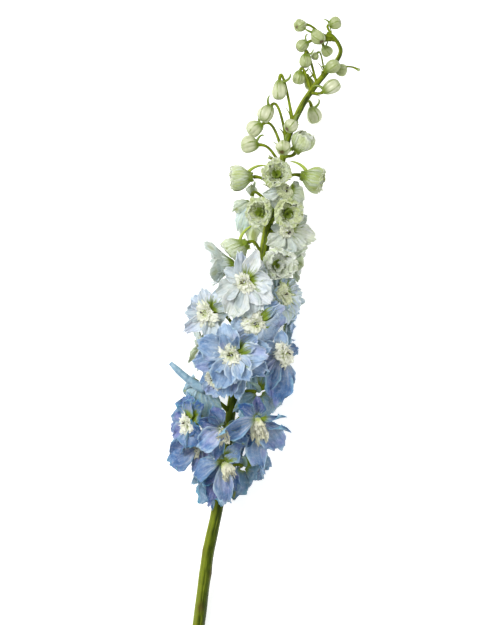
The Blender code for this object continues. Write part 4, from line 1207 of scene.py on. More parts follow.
# %% Pose the sepals in front one by one
# angle from +X in the plan, length, width, first rise, last rise, hollow, curl, twist, how far over the
# middle it starts, and how far it bends to its side
Sepal = namedtuple("Sepal", "angle length width first last hollow curl twist start sway", defaults=[0.0])
OWN_SEPALS = {
    "bloom_03": [
        (44, 0.95, 0.36, 34, -16, 1.2, 0.6, -26, 0.0),
        (30, 0.56, 0.38, 50, 6, 0.8, 0.3, 20, 1.5),
        (120, 0.85, 0.40, 30, -20, 0.6, 0.4, 10, -1.0),
        (190, 1.15, 0.34, 22, -26, 0.7, 0.8, 26, 0.0),
        (222, 0.9, 0.36, 8, -30, 0.6, 0.4, 0, -2.5),
        (247, 1.3, 0.26, -6, -26, 0.5, 0.4, 8, -4.0),
        (272, 1.2, 0.30, 24, -40, 1.0, 0.9, -22, -1.0),
        (303, 0.95, 0.26, 6, -36, 0.8, 0.8, -20, -3.0),
    ],
    "bloom_05": [
        (115, 0.9, 0.40, 34, -18, 1.4, 0.6, 14, 0.0),
        (150, 0.9, 0.34, 36, -14, 0.6, 0.6, -16, 0.5),
        (208, 1.05, 0.44, 46, -34, 1.6, 0.4, 16, 1.0),
        (252, 0.95, 0.26, 20, -30, 0.6, 0.5, -10, 0.0),
        (18, 0.7, 0.34, 30, -20, 0.8, 0.8, 16, 0.0),
        (335, 0.8, 0.30, 14, -24, 0.6, 0.6, 10, -1.0),
    ],
    "bloom_07": [
        (198, 1.28, 0.28, 38, -14, 0.9, 1.3, -30, 6.5),
        (150, 0.75, 0.36, 44, 0, 1.2, 0.6, 12, 1.5),
        (85, 0.6, 0.44, 40, -10, 1.0, 0.6, 0, 0.0),
        (-6, 0.82, 0.20, 14, 24, 1.2, 1.8, 0, 1.0, 0.32),
        (-34, 0.96, 0.17, 4, 18, 1.2, 1.8, 0, 0.0, 0.36),
        (308, 1.0, 0.42, 12, -30, 0.5, 0.4, 14, -2.0),
        (268, 1.55, 0.27, 0, -30, 0.6, 0.8, -6, -4.0),
        (235, 0.9, 0.36, 10, -30, 0.6, 0.5, -6, -2.0),
    ],
    "bloom_08": [
        (160, 0.9, 0.36, 14, -14, 0.8, 0.6, 0, 2.0),
        (312, 1.4, 0.34, 18, -18, 0.3, 0.3, -6, 1.0),
        (272, 1.1, 0.34, 22, -24, 0.4, 0.6, 10, 1.5),
        (225, 1.05, 0.34, 24, -24, 0.6, 0.6, 20, 1.0),
        (30, 0.8, 0.36, 10, -20, 0.4, 0.4, 0, -1.0),
        (200, 0.8, 0.36, 6, -30, 0.4, 0.4, 0, -3.0),
    ],
    "bloom_20": [
        (278, 1.25, 0.36, 6, -20, 0.5, 0.4, 0, 0.0),
        (254, 1.05, 0.36, 10, -16, 0.5, 0.3, 8, 1.0),
        (304, 1.25, 0.36, 10, -16, 0.5, 0.3, -8, 1.0),
        (214, 0.7, 0.46, 16, -6, 0.5, 0.3, 0, 0.0),
        (338, 0.6, 0.46, 16, -10, 0.5, 0.3, 0, 0.0),
        (90, 0.5, 0.5, 20, 0, 0.4, 0.3, 0, 0.0),
    ],
    "bloom_09": [
        (250, 1.0, 0.42, 24, -14, 0.5, 0.3, 0, 2.0),
        (300, 1.1, 0.42, 26, -16, 0.5, 0.3, 6, 3.0),
        (345, 1.0, 0.40, 20, -20, 0.5, 0.4, 0, 1.0),
        (200, 0.9, 0.36, 20, -20, 0.5, 0.4, 0, 1.0),
        (60, 0.9, 0.40, 0, -20, 0.5, 0.3, 0, -3.0),
        (278, 1.3, 0.26, 6, -20, 0.5, 0.6, 0, 0.0),
    ],
    "bloom_11": [
        (358, 0.86, 0.40, 30, 2, 0.9, 0.2, 4, 1.0),
        (312, 0.74, 0.42, 34, 6, 0.9, 0.2, 10, 1.0),
        (282, 0.70, 0.40, 36, 0, 0.8, 0.3, -8, 0.6),
        (240, 0.86, 0.46, 28, -10, 0.8, 0.2, 0, 0.5),
        (262, 1.16, 0.32, 16, -26, 0.4, 0.3, 6, -1.8),
        (284, 1.3, 0.20, 8, -30, 0.6, 0.8, 12, -3.0),
        (330, 1.06, 0.32, 14, -12, 0.5, 0.3, 0, -2.0),
        (206, 0.74, 0.40, 30, -8, 0.8, 0.3, 10, 0.4),
        (186, 0.98, 0.36, 12, -18, 0.5, 0.3, 10, -2.4),
        (160, 0.90, 0.42, 26, -8, 0.6, 0.2, -8, -0.4),
        (118, 0.60, 0.30, 44, 10, 1.0, 0.5, 14, 0.6),
        (100, 0.82, 0.36, 24, -8, 0.8, 0.3, -6, -1.2),
        (72, 0.56, 0.26, 48, 16, 1.0, 0.6, 10, 0.6),
        (40, 0.76, 0.36, 22, -4, 0.7, 0.3, 0, -0.8),
        (20, 1.1, 0.30, 10, -16, 0.5, 0.3, 0, -3.0),
    ],
    "bloom_12": [
        (263, 1.45, 0.32, 14, -30, 0.5, 0.4, -8, -1.0),
        (240, 1.2, 0.30, 22, -30, 0.6, 0.4, 10, 0.0),
        (284, 1.15, 0.26, 4, -34, 0.5, 0.4, 0, -3.0),
        (150, 0.8, 0.24, 40, 0, 0.8, 0.8, 16, 1.0),
        (92, 0.72, 0.36, 36, -10, 0.8, 0.5, 0, 0.0),
        (215, 1.0, 0.36, 26, -20, 0.6, 0.3, 0, -1.0),
        (20, 0.5, 0.44, -10, -30, 0.6, 0.3, 0, -4.0),
    ],
    "bloom_14": [
        (12, 1.05, 0.36, 24, -14, 0.5, 0.2, 8, -0.6),
        (46, 0.9, 0.36, 30, -6, 0.8, 0.3, 0, 0.0),
        (326, 1.3, 0.46, 24, -20, 0.6, 0.2, 0, 0.4),
        (288, 0.98, 0.40, 28, -14, 0.8, 0.3, 8, 1.0),
        (236, 0.9, 0.38, 28, -12, 0.5, 0.3, 0, 0.4),
        (206, 1.25, 0.46, 24, -18, 0.5, 0.2, 0, -0.2),
        (174, 1.1, 0.42, 26, -12, 0.5, 0.3, 8, 0.4),
        (110, 0.9, 0.36, 24, -8, 0.6, 0.3, 0, -1.0),
        (352, 1.2, 0.30, 10, -20, 0.5, 0.4, 0, -2.6),
    ],
    "bloom_16": [
        (64, 1.22, 0.32, 36, 4, 0.6, 0.3, 6, 1.4),
        (30, 0.8, 0.28, 42, 10, 0.8, 0.6, 16, 2.0),
        (104, 0.85, 0.36, 26, -16, 0.6, 0.3, 0, -1.0),
        (276, 1.1, 0.32, 26, -14, 0.9, 0.2, 8, 0.5),
        (222, 0.95, 0.30, 10, -26, 0.5, 0.4, 0, -1.6),
        (322, 0.9, 0.34, 20, -20, 0.6, 0.3, 0, -1.0),
        (180, 0.7, 0.44, 4, -30, 0.5, 0.3, 0, -3.0),
        (140, 0.75, 0.40, 4, -30, 0.5, 0.3, 0, -2.6),
        (298, 1.15, 0.36, 8, -20, 0.5, 0.3, 0, -2.0),
    ],
    "bloom_18": [
        (105, 0.9, 0.27, 34, 8, 0.7, 0.3, 6, 0.5),
        (70, 1.0, 0.28, 34, 6, 0.7, 0.3, -6, 0.8),
        (4, 0.76, 0.46, 32, 0, 1.0, 0.1, 4, 0.6),
        (318, 0.92, 0.38, 28, -6, 0.8, 0.2, 8, 0.3),
        (278, 1.02, 0.42, 24, -16, 0.7, 0.2, 0, -0.4),
        (244, 1.02, 0.40, 22, -14, 0.6, 0.2, 6, -1.0),
        (200, 0.80, 0.44, 24, -12, 0.7, 0.2, 0, -0.6),
        (152, 0.64, 0.40, 28, -4, 0.8, 0.3, 8, 0.2),
        (298, 1.2, 0.28, 8, -24, 0.6, 0.4, 0, -2.4),
        (256, 1.3, 0.26, 6, -26, 0.5, 0.4, 0, -3.2),
        (36, 0.8, 0.34, 18, -12, 0.6, 0.3, 0, -1.6),
    ],
    "bloom_19": [
        (-14, 0.98, 0.40, 10, -14, 0.4, 0.3, 0, -1.0),
        (38, 0.95, 0.36, 6, -20, 0.4, 0.3, 0, -2.0),
        (-52, 1.05, 0.38, 16, -20, 0.5, 0.2, 0, 0.0),
        (268, 1.2, 0.38, 22, -20, 0.5, 0.2, 4, -1.0),
        (228, 0.85, 0.42, 26, -8, 0.6, 0.2, 0, 0.5),
        (160, 0.5, 0.40, 20, -10, 0.5, 0.2, 0, 0.0),
    ],
    "bloom_21": [
        (-14, 1.4, 0.36, 14, -10, 0.4, 0.2, 0, 0.0),
        (-38, 1.25, 0.30, 6, -20, 0.4, 0.3, 0, -1.5),
        (184, 1.0, 0.38, 16, -16, 0.5, 0.3, 0, 0.0),
        (226, 0.95, 0.38, 12, -20, 0.5, 0.3, 0, -1.0),
        (262, 0.8, 0.40, 6, -24, 0.5, 0.3, 0, -2.0),
        (20, 1.0, 0.36, 6, -14, 0.4, 0.3, 0, -2.0),
    ],
    "bloom_04": [
        (194, 1.3, 0.50, 10, -24, 0.7, 0.4, 4, -1.0),
        (250, 0.95, 0.34, 16, -24, 0.6, 0.5, 10, -2.0),
        (286, 0.95, 0.30, 20, -20, 0.6, 0.5, 0, -2.0),
        (180, 0.8, 0.36, 20, -16, 0.6, 0.4, 0, -1.0),
        (128, 0.85, 0.36, 20, -16, 0.6, 0.4, 0, -1.0),
        (60, 0.7, 0.40, 10, -20, 0.5, 0.3, 0, -1.0),
    ],
}
# sepals that curl more than this, and these ones, leave their head's room
FREE_CURL = 1.2
FREE_SEPALS = [("bloom_04", 194)]
print(sum(len(rows) for rows in OWN_SEPALS.values()), "sepals are posed one by one")

# %% Choose each flower's sepals
# sepals posed in the plan look up, and those of a flower that is seen from behind look down
PLAN_AXES = (np.array([0.0, 0.0, 1.0]), np.array([1.0, 0.0, 0.0]), np.array([0.0, 1.0, 0.0]))
TURNED_AXES = (np.array([0.0, 0.0, -1.0]), np.array([0.0, 1.0, 0.0]), np.array([1.0, 0.0, 0.0]))
# the second ring of sepals starts higher than the first
RING_START = -1.6
RING_STEP = 0.7


def turned_over(sepal):
    """The same sepal, told by the axes of a flower that looks down."""
    return sepal._replace(angle=90 - sepal.angle, first=-sepal.first, last=-sepal.last, start=-sepal.start)


def sepals_of(head, draw):
    """The axes and the sepals of a head: posed one by one in the plan, or in rings round its face."""
    if head.name in OWN_SEPALS:
        posed = [Sepal(*row) for row in OWN_SEPALS[head.name]]
        if head.kind != "back":
            return PLAN_AXES, posed
        return TURNED_AXES, [turned_over(sepal) for sepal in posed]
    sepals = []
    for ring, (count, length, width, first, last, hollow, curl) in enumerate(RINGS[head.kind]):
        start = RING_STEP * ring + RING_START
        for number in range(count):
            uneven = draw.uniform(-1, 1) * LOOKS[head.kind].jitter
            angle = 90 + 360 * (number + ring / 2) / count + uneven
            first_rise = first + draw.uniform(-8, 8)
            last_rise = last + draw.uniform(-20, 20)
            twist = draw.uniform(-6, 16)
            sepals.append(Sepal(angle, length, width, first_rise, last_rise, hollow, curl, twist, start))
    return axes_of(head), sepals


print("a ring flower has", len(sepals_of(OPEN_HEADS[0], random.Random(0))[1]), "sepals")

# %% Make the open flowers
SEPAL_THICKNESS = 0.34
# how deep a throat is on every sepal, and how much deeper towards its green side
THROAT_LEAST = 0.22
THROAT_REACH = 0.5
THROAT_SIDE = (0.8, 0.5, 0.0)
YOUNGEST = 0.06
SPUR_GREEN = 0.35
# the slot name changes along the spike at these places, in millimetres
BLUE_BELOW = -20
PALE_BELOW = 40


def throat_way(head):
    """The way from the flower's middle to its green throat: towards the spike's tip and its right."""
    face, _, _ = axes_of(head)
    way = np.array(THROAT_SIDE)
    way = way - face * (way @ face)
    return way / max(np.linalg.norm(way), 0.2)


def sagging(head, points, drop):
    """The points sunk towards the foot of the spike, more the further they are from the flower's middle."""
    apart = np.linalg.norm(points - middle_of(head), axis=1) / head.size
    return points + np.outer(apart**2, (0.0, -drop, 0.0))


def slot_of(head):
    """The name of a slot for an open flower, by its place on the spike."""
    if head.y < BLUE_BELOW:
        return "sepal_blue"
    return "sepal_pale" if head.y < PALE_BELOW else "sepal_white"


def sepal_petal(head, sepal, look, draw):
    """A sepal's shape, with what each one draws for itself."""
    return Petal(
        length=head.size * sepal.length * draw.uniform(0.9, 1.08),
        width=sepal.width * draw.uniform(0.92, 1.12),
        first=sepal.first,
        last=sepal.last,
        hollow=sepal.hollow * draw.uniform(0.3, 1.7),
        twist=sepal.twist,
        wave=look.wave * draw.uniform(0.6, 1.4),
        crinkle=look.crinkle * draw.uniform(0.6, 1.4),
        point=draw.uniform(0.0, 1.0) * look.point,
        sway=sepal.sway + draw.uniform(-0.1, 0.1),
        curl=sepal.curl * draw.uniform(0.5, 1.5),
        blunt=look.blunt,
    )


def open_flower(head):
    """The sepals and the spur of one open flower."""
    draw = random.Random(head.name)
    walls = walls_for(head)
    green_way = throat_way(head)
    look = LOOKS[head.kind]
    _, across, along = SHEETS["sepal"]
    axes, sepals = sepals_of(head, draw)
    pieces = []
    for sepal in sepals:
        angle = math.radians(sepal.angle)
        shape = petal_shape(across, along, sepal_petal(head, sepal, look, draw), draw)
        greener = max(radial_at(axes, angle) @ green_way, 0.0) ** 2 * (1.5 if head.kind == "frill" else 1.0)
        own_age = head.age + draw.uniform(-look.younger, look.older)
        age = min(max(own_age, min(head.age, YOUNGEST)), 1)
        marks = (age, head.green * draw.uniform(0.3, 1.2), THROAT_LEAST + THROAT_REACH * greener)
        free = sepal.curl > FREE_CURL or (head.name, sepal.angle) in FREE_SEPALS
        points = placed(head, axes, angle, sepal.start, shape, [] if free else walls)
        points = sagging(head, points, look.sag)
        spot = draw.uniform(0.3, 0.9)
        shade = draw.random() ** (2 if head.kind == "brush" else 1)
        pieces.append(petal_from("sepal", points, marks, spot, shade))
    name = head.name + "_sepals"
    petals = finished(name, pieces, SEPAL_SKIN, SEPAL_THICKNESS)
    spur_green = 0.0 if head.name in OWN_SPURS else SPUR_GREEN
    whole = finished(name, [petals, spur(head, (head.age, spur_green, 0.0))], SEPAL_SKIN)
    dress(whole, slot_of(head), head.name)
    return whole


flowers = [open_flower(head) for head in OPEN_HEADS]
print(len(flowers), "open flowers,", sum(len(flower.data.polygons) for flower in flowers), "faces")

# %% [markdown]
# ## Bees
# The bee is a tuft of small crinkled petals. On younger flowers it is a round frill of notched petals that
# curl outwards. On the oldest it hangs as a brush, long and narrow with frayed tips. Fine hairs stand out
# of both. A particle system could grow such hairs, but it has no mesh of its own, so each is a thin tube.

# %% Choose the looks of bees
BEE_KINDS = {
    # rings of petals: how many, length, width, first rise, last rise, how far out they start
    "frill": [(11, 12.0, 0.35, 58, -56, 2.2), (10, 10.6, 0.36, 70, -30, 1.8), (7, 8.6, 0.38, 80, 4, 1.2)],
    "brush": [(11, 15.0, 0.24, 66, 72, 2.6), (9, 14.0, 0.24, 78, 74, 1.7), (6, 12.0, 0.26, 86, 80, 0.8)],
}
BEE_THICKNESS = 0.28
# a bee is full size on a flower this large, and some have their own share of that
BEE_FULL_SIZE = 26.0
BEE_SHARES = {
    "bloom_03": 0.7,
    "bloom_04": 0.85,
    "bloom_05": 0.72,
    "bloom_07": 0.9,
    "bloom_10": 1.2,
    "bloom_14": 1.12,
    "bloom_16": 1.2,
    "bloom_18": 0.88,
    "bloom_19": 0.8,
}
BEE_START = 1.4
BEE_BLUNT = 0.45
BEE_DROOP = 5.0
BEE_DROOP_HEIGHT = 12.0
BEE_MAP_SPOT = (0.5, 0.9)
HAIRS = {"frill": 56, "brush": 90}
HAIR_RADII = 0.16 * np.array([1.0, 0.9, 0.6, 0.25])


def drooped(head, points):
    """The points of an old tuft, sunk towards the foot of the spike the further they stand out."""
    if head.kind != "brush":
        return points
    face, _, _ = axes_of(head)
    height = np.maximum((points - middle_of(head)) @ face, 0) / BEE_DROOP_HEIGHT
    return points + np.outer(height**2, (0.0, -BEE_DROOP, -0.4 * BEE_DROOP))


def bee_hairs(head, draw, scale, walls):
    """Fine curved hairs that stand out of the tuft."""
    axes = axes_of(head)
    face, side, up = axes
    routes = []
    for _ in range(HAIRS[head.kind]):
        radial = radial_at(axes, draw.uniform(0, 2 * math.pi))
        if head.kind == "brush":
            start = face * draw.uniform(6, 9) + radial * draw.uniform(1, 5)
            way = face * draw.uniform(0.6, 1.0) + radial * draw.uniform(0.1, 0.7)
        else:
            start = face * draw.uniform(3, 6.4) + radial * draw.uniform(2, 6)
            way = face * draw.uniform(0.3, 0.9) + radial * draw.uniform(-0.5, 0.9)
        length = draw.uniform(2.0, 3.6)
        steps = np.linspace(0, 1, len(HAIR_RADII))[:, None]
        bend = side * draw.uniform(-0.8, 0.8) + up * draw.uniform(-0.8, 0.8)
        points = start + unit(way) * length * steps + bend * steps**2
        routes.append((drooped(head, confined(middle_of(head) + points * scale, walls)), HAIR_RADII))
    return tubes(head.name + "_hairs", routes, 0, spot=BEE_MAP_SPOT)


print("old bees have", HAIRS["brush"], "hairs and younger ones", HAIRS["frill"])

# %% [markdown]
# ## Anthers
# Dark anthers show in the mouth of a bee. Each is a grain, longer than it is wide, with a dusty skin. A
# grain could be modelled in detail, but it is about two pixels long in the picture. So a ball is drawn out
# once and copied six times for each bee.

# %% Model an anther
ANTHER_RADIUS = 0.75
ANTHER_STRETCH = (0.62, 0.62, 1.15)
ANTHERS_PER_BEE = 6

add_ball = bpy.ops.mesh.primitive_uv_sphere_add
ANTHER = start_shape("anther_start", add_ball, segments=8, ring_count=6, radius=ANTHER_RADIUS * MM)
edit_all(ANTHER)
bpy.ops.transform.resize(value=ANTHER_STRETCH)
bpy.ops.object.mode_set(mode="OBJECT")


def anthers(head, draw, scale, walls):
    """Dark anthers in the mouth of the tuft."""
    axes = axes_of(head)
    face = axes[0]
    pieces = []
    for _ in range(ANTHERS_PER_BEE):
        radial = radial_at(axes, draw.uniform(0, 2 * math.pi))
        height = draw.uniform(6.0, 8.0) if head.kind == "frill" else draw.uniform(9, 12.5)
        place = middle_of(head) + (face * height + radial * draw.uniform(0.2, 2.6)) * scale
        place = drooped(head, confined(place[None], walls))[0]
        way = Vector(face + radial * draw.uniform(0.2, 1.5))
        piece = copy_of(ANTHER, "anther")
        turned = way.to_track_quat("Z", "Y").to_matrix().to_4x4()
        piece.data.transform(Matrix.Translation(Vector(place * MM)) @ turned)
        pieces.append(piece)
    dress(finished(head.name + "_anthers", pieces, ANTHER_SKIN), "bee_cream")


print("an anther has", len(ANTHER.data.polygons), "faces")

# %% Make the bees
def bee_petals(head, draw, scale, walls):
    """The rings of small petals of one tuft, shorter and flatter towards the flower's green throat."""
    axes = axes_of(head)
    green_way = throat_way(head)
    old = 1.0 if head.kind == "brush" else 0.15 * head.age
    _, across, along = SHEETS["frill"]
    pieces = []
    for count, length, width, first, last, foot in BEE_KINDS[head.kind]:
        for number in range(count):
            angle = 2 * math.pi * (number + draw.uniform(-0.3, 0.3)) / count
            towards = max(radial_at(axes, angle) @ green_way, 0.0) ** 2
            open_side = towards if head.kind == "frill" else 0.0
            petal = Petal(
                length=length * scale * draw.uniform(0.85, 1.1) * (1 - 0.6 * open_side),
                width=width * draw.uniform(0.85, 1.1),
                first=first + draw.uniform(-8, 8),
                last=last + draw.uniform(-14, 14) + 60 * open_side,
                hollow=draw.uniform(0.1, 0.9),
                twist=draw.uniform(-16, 16),
                wave=draw.uniform(0.08, 0.15),
                crinkle=draw.uniform(3.5, 6.0),
                notch=draw.uniform(0.08, 0.3),
                sway=draw.uniform(-0.16, 0.16),
                foot=foot * scale,
                blunt=BEE_BLUNT,
            )
            shape = petal_shape(across, along, petal, draw)
            marks = (old * draw.uniform(0.6, 1.0), draw.uniform(0.0, 0.2) + 0.9 * head.green, 0.0)
            points = drooped(head, placed(head, axes, angle, BEE_START, shape, walls))
            pieces.append(petal_from("frill", points, marks))
    return pieces


def bee(head):
    """The tuft of small petals in the middle of an open flower, with its hairs and anthers."""
    draw = random.Random(head.name + "_bee")
    walls = walls_for(head)
    scale = min(1.0, head.size / BEE_FULL_SIZE) * BEE_SHARES.get(head.name, 1.0)
    name = head.name + "_bee_petals"
    petals = finished(name, bee_petals(head, draw, scale, walls), BEE_SKIN, BEE_THICKNESS)
    whole = finished(name, [petals, bee_hairs(head, draw, scale, walls)], BEE_SKIN)
    dress(whole, "bee_cream", head.name + "_bee")
    anthers(head, draw, scale, walls)
    return whole


bees = [bee(head) for head in OPEN_HEADS if head.kind in BEE_KINDS]
print(len(bees), "bees,", sum(len(tuft.data.polygons) for tuft in bees), "faces")

# %% [markdown]
# ## Half-open flowers
# Just above the open flowers the sepals still stand as a cup. Five of them overlap round it, each with its
# own rounded, wavy rim. Seen from the front such a flower is a rosette with a green throat, and from the
# side a bell or a cup with green veins. A spin would turn a plain cup, but five sheets wrapped round it
# keep each sepal's own rim and map.

# %% Shape a cup's sepals
CUP_SPREAD = 1.45
SEPAL_SPAN = 36
# one bell is turned round its own middle, and its first sepal is longer than the rest
CUP_TURNS = {"bell_1": -42}
LONG_SEPALS = {"bell_1": 1.15}
# how deep the green throat is, and how light a sepal may be
CUP_THROATS = {"bell_1": (0.42, 0.55)}
CUP_PALES = {"cup_3": (0.0, 0.1), "bell_1": (0.8, 1.0)}


def cup_sepal(across, along, head, turn, draw, long=1.0):
    """One sepal of a half-open flower: distance out, turn round the cup, and height from its base."""
    radius, length, closing = CUP_SHAPES[head.kind]
    bell = head.kind == "bell"
    starts = wave_starts(draw, 4)
    reach = along - (0.3 if bell else 0.1) * np.abs(across) ** 1.8 * along**3
    reach = reach + 0.02 * np.sin(8 * across + starts[0]) * along**5
    reach = reach + 0.016 * np.sin(18 * across + starts[1]) * along**7
    swell = np.sin(np.pi * closing * reach) ** (1.7 if bell else 1.15)
    rib = 0.03 * np.cos(6 * np.pi * across) * np.sin(np.pi * along)
    flare = (draw.uniform(0.05, 0.25) + long - 1) * along**4 if bell else 0.0
    wave = 0.05 * np.sin(5 * across + starts[2]) * along**4
    wave = wave + 0.02 * np.sin(13 * across + starts[3]) * along**5
    out = head.size * (radius * swell * (1 + rib + 0.05 * across) + flare + wave)
    full = np.minimum(outline(along, 0.5, 0.5, 0.3), 1) * (1 - 3.2 * (long - 1) * along**2)
    if long > 1:
        full = np.maximum(full, 0.3 * np.minimum(1, 8 * (1 - along) + 0.3))
    height = head.size * length * (reach + (long - 1) * along**3)
    return out, turn + across * math.radians(SEPAL_SPAN) * CUP_SPREAD * full, height


def cup_sepals(head, axes, walls, draw):
    """The five sepals round the cup."""
    face, side, up = axes
    base = base_of(head)
    _, across, along = SHEETS["sepal"]
    pieces = []
    for number in range(5):
        turn = math.radians(72 * number + CUP_TURNS.get(head.name, 0) + draw.uniform(-5, 5))
        long = LONG_SEPALS.get(head.name, 1.0) if number == 0 else 1.0
        out, angle, height = cup_sepal(across, along, head, turn, draw, long)
        radial = np.outer(np.cos(angle), up) - np.outer(np.sin(angle), side)
        points = base + np.outer(height, face) + radial * out[:, None]
        points = confined(points, walls if long == 1 else [])
        throat = draw.uniform(*CUP_THROATS.get(head.name, (0.55, 0.85)))
        marks = (head.age + draw.uniform(0, 0.03), head.green * draw.uniform(0.5, 1.3), throat)
        shade = draw.uniform(*CUP_PALES.get(head.name, (0.0, 1.0)))
        pieces.append(petal_from("sepal", points, marks, draw.uniform(0.2, 0.7), shade))
    return pieces


print("a cup's sepal spans", round(2 * SEPAL_SPAN * CUP_SPREAD), "degrees")

# %% [markdown]
# ## The mouth of a half-open flower
# Crinkled young petals fill the mouth and hide the cup's inside. They could be one crumpled sheet, but then
# no edges would show. So they stand in rings as the bee's petals do, the inner ones greener.

# %% Make the half-open flowers
MOUTH_RINGS = {
    # how many, length against the cup's, first rise, last rise, start against its radius, how late they bend
    # and how high they start
    "bell": [(6, 0.5, 20, 40, 0.02, 1.0, 0.3), (7, 1.04, 70, 30, 0.3, 4.0, 0.0)],
    "cup": [(6, 0.5, 20, 40, 0.02, 1.0, 0.3), (8, 0.96, 84, 30, 0.36, 4.0, 0.0)],
    "rosette": [
        (7, 0.56, 16, 50, 0.02, 1.0, 0.34),
        (8, 0.55, 68, -60, 0.64, 3.0, 0.54),
        (7, 1.04, 86, -60, 0.46, 4.0, 0.0),
        (7, 0.88, 82, -50, 0.3, 4.0, 0.06),
        (6, 0.5, 62, -20, 0.16, 2.0, 0.34),
        (4, 0.4, 48, 70, 0.05, 1.0, 0.4),
    ],
}
MOUTH_WIDTH = 0.3
MOUTH_BLUNT = 0.35
ROSETTE_LOOSE = 0.16
MIDDLE_START = 0.1
INNER_START = 0.2
YOUNG_AGE = 0.04
CUP_SPUR_SCALE = 0.7


def mouth_throat(head, start, draw):
    """How deep the green runs on a petal in the mouth: deepest in the middle of the youngest flowers."""
    if start < MIDDLE_START:
        return draw.uniform(1.3, 3.0) * (1 if head.age < YOUNG_AGE else 0.4)
    return draw.uniform(0.8, 1.3) if start < INNER_START else draw.uniform(0.4, 0.8)


def mouth_petals(head, axes, walls, draw):
    """The rings of crinkled petals in the mouth."""
    radius, length, _ = CUP_SHAPES[head.kind]
    depth = length * head.size / 2
    loose = ROSETTE_LOOSE if head.kind == "rosette" else 0.0
    _, across, along = SHEETS["frill"]
    pieces = []
    for count, share, first, last, start, late, raised in MOUTH_RINGS[head.kind]:
        for number in range(count):
            petal = Petal(
                length=head.size * length * share * draw.uniform(0.94 - loose, 1.06 + loose / 2),
                width=MOUTH_WIDTH * draw.uniform(0.9, 1.2),
                first=first + draw.uniform(-4, 4),
                last=last + draw.uniform(-16, 16),
                hollow=draw.uniform(0.2, 0.7),
                twist=draw.uniform(-12, 12),
                wave=draw.uniform(0.04, 0.09),
                crinkle=draw.uniform(1.6, 3.4),
                notch=draw.uniform(0.0, 0.12),
                sway=draw.uniform(-0.1, 0.1),
                foot=head.size * radius * start,
                late=late,
                blunt=MOUTH_BLUNT,
            )
            shape = petal_shape(across, along, petal, draw)
            angle = 2 * math.pi * (number + draw.uniform(-0.25, 0.25) * (1 + 5 * loose)) / count
            throat = mouth_throat(head, start, draw)
            marks = (head.age, head.green * draw.uniform(0.4, 1.2), throat)
            points = placed(head, axes, angle, 1.0 - depth + 2 * depth * raised, shape, walls)
            pieces.append(petal_from("frill", points, marks))
    return pieces


def half_open_flower(head):
    """The sepals of a half-open flower, the petals in its mouth, and its spur, which a rosette hides."""
    draw = random.Random(head.name)
    walls = walls_for(head)
    axes = axes_of(head)
    pieces = cup_sepals(head, axes, walls, draw) + mouth_petals(head, axes, walls, draw)
    name = head.name + "_sepals"
    whole = finished(name, pieces, SEPAL_SKIN, SEPAL_THICKNESS)
    if head.kind != "rosette":
        whole = finished(name, [whole, spur(head, (head.age, 1.0, 0.0), CUP_SPUR_SCALE)], SEPAL_SKIN)
    dress(whole, "cup_green", head.name)
    return whole


half_open = [half_open_flower(head) for head in HALF_OPEN_HEADS]
print(len(half_open), "half-open flowers,", sum(len(flower.data.polygons) for flower in half_open), "faces")

# %% [markdown]
# ## Buds
# A closed bud is five sepals folded tight round each other. Each shows as a low rib with a seam beside it,
# and they meet in a small pucker at the tip. Five folded sheets would make one, but only their outside
# shows. So a ball is modelled once and drawn out to each bud's shape, with ribs, seams and pucker.

# %% Make the buds
BUD_SEGMENTS = 50
BUD_RINGS = 22
BUD_LEAN = 0.09
# how young a bud is in the tip of the spike, and below it
TIP_YOUNG = 1.0
BUD_OLDER = 0.15
# smaller buds have no spur yet, and larger ones a wider spur
SPUR_FROM_SIZE = 3
SPUR_FULL_SIZE = 15
BUD_SPUR_MARKS = (0.12, 0.0, 0.0)

BALL = start_shape("ball_start", add_ball, segments=BUD_SEGMENTS, ring_count=BUD_RINGS, radius=1.0)
BALL.data.uv_layers[0].name = "UVMap"
BALL_POINTS = points_of(BALL.data)


def bud(head):
    """A closed bud with its ribs and its spur."""
    draw = random.Random(head.name)
    face, side, up = axes_of(head)
    turn = np.arctan2(BALL_POINTS[:, 1], BALL_POINTS[:, 0])
    height = BALL_POINTS[:, 2]
    ring = np.hypot(BALL_POINTS[:, 0], BALL_POINTS[:, 1])
    along = (height + 1) / 2
    phase = 5 * (turn + 0.5 * along) + draw.uniform(0, 6)
    rib = np.cos(phase)
    seam = np.exp(-(((phase % (2 * np.pi)) - np.pi) ** 2) / 0.16)
    swell = 0.98 + 0.13 * height - 0.1 * height**2 + 0.06 * rib * ring - 0.08 * seam * ring
    wide = head.size * head.age * ring * swell
    pucker = 0.15 * np.maximum(height, 0) ** 3 + 0.06 * np.exp(-((ring / 0.2) ** 2)) * (height > 0)
    long = head.size * (height - pucker)
    lean = BUD_LEAN * head.size * np.sin(np.pi * along)
    points = middle_of(head) + np.outer(long, face) + np.outer(lean, up)
    points = points + (np.outer(np.cos(turn), side) + np.outer(np.sin(turn), up)) * wide[:, None]
    made = copy_of(BALL, head.name)
    place_points(made.data, points)
    store(made.data, "petal_marks", np.column_stack([along, rib, np.full(len(along), head.green)]))
    store(made.data, "petal_sides", (TIP_YOUNG if head in TIP_HEADS else BUD_OLDER, 0.0, 0.0))
    pieces = [made]
    if head.size > SPUR_FROM_SIZE:
        pieces.append(spur(head, BUD_SPUR_MARKS, head.size / SPUR_FULL_SIZE))
    whole = finished(head.name + "_skin", pieces, BUD_SKIN)
    edit_all(whole)
    bpy.ops.mesh.normals_make_consistent(inside=False)
    bpy.ops.object.mode_set(mode="OBJECT")
    dress(whole, "bud_green", *([head.name] if head in BUD_HEADS else []))
    return whole


buds = [bud(head) for head in BUD_HEADS + TIP_HEADS]
print(len(buds), "buds,", sum(len(made.data.polygons) for made in buds), "faces")

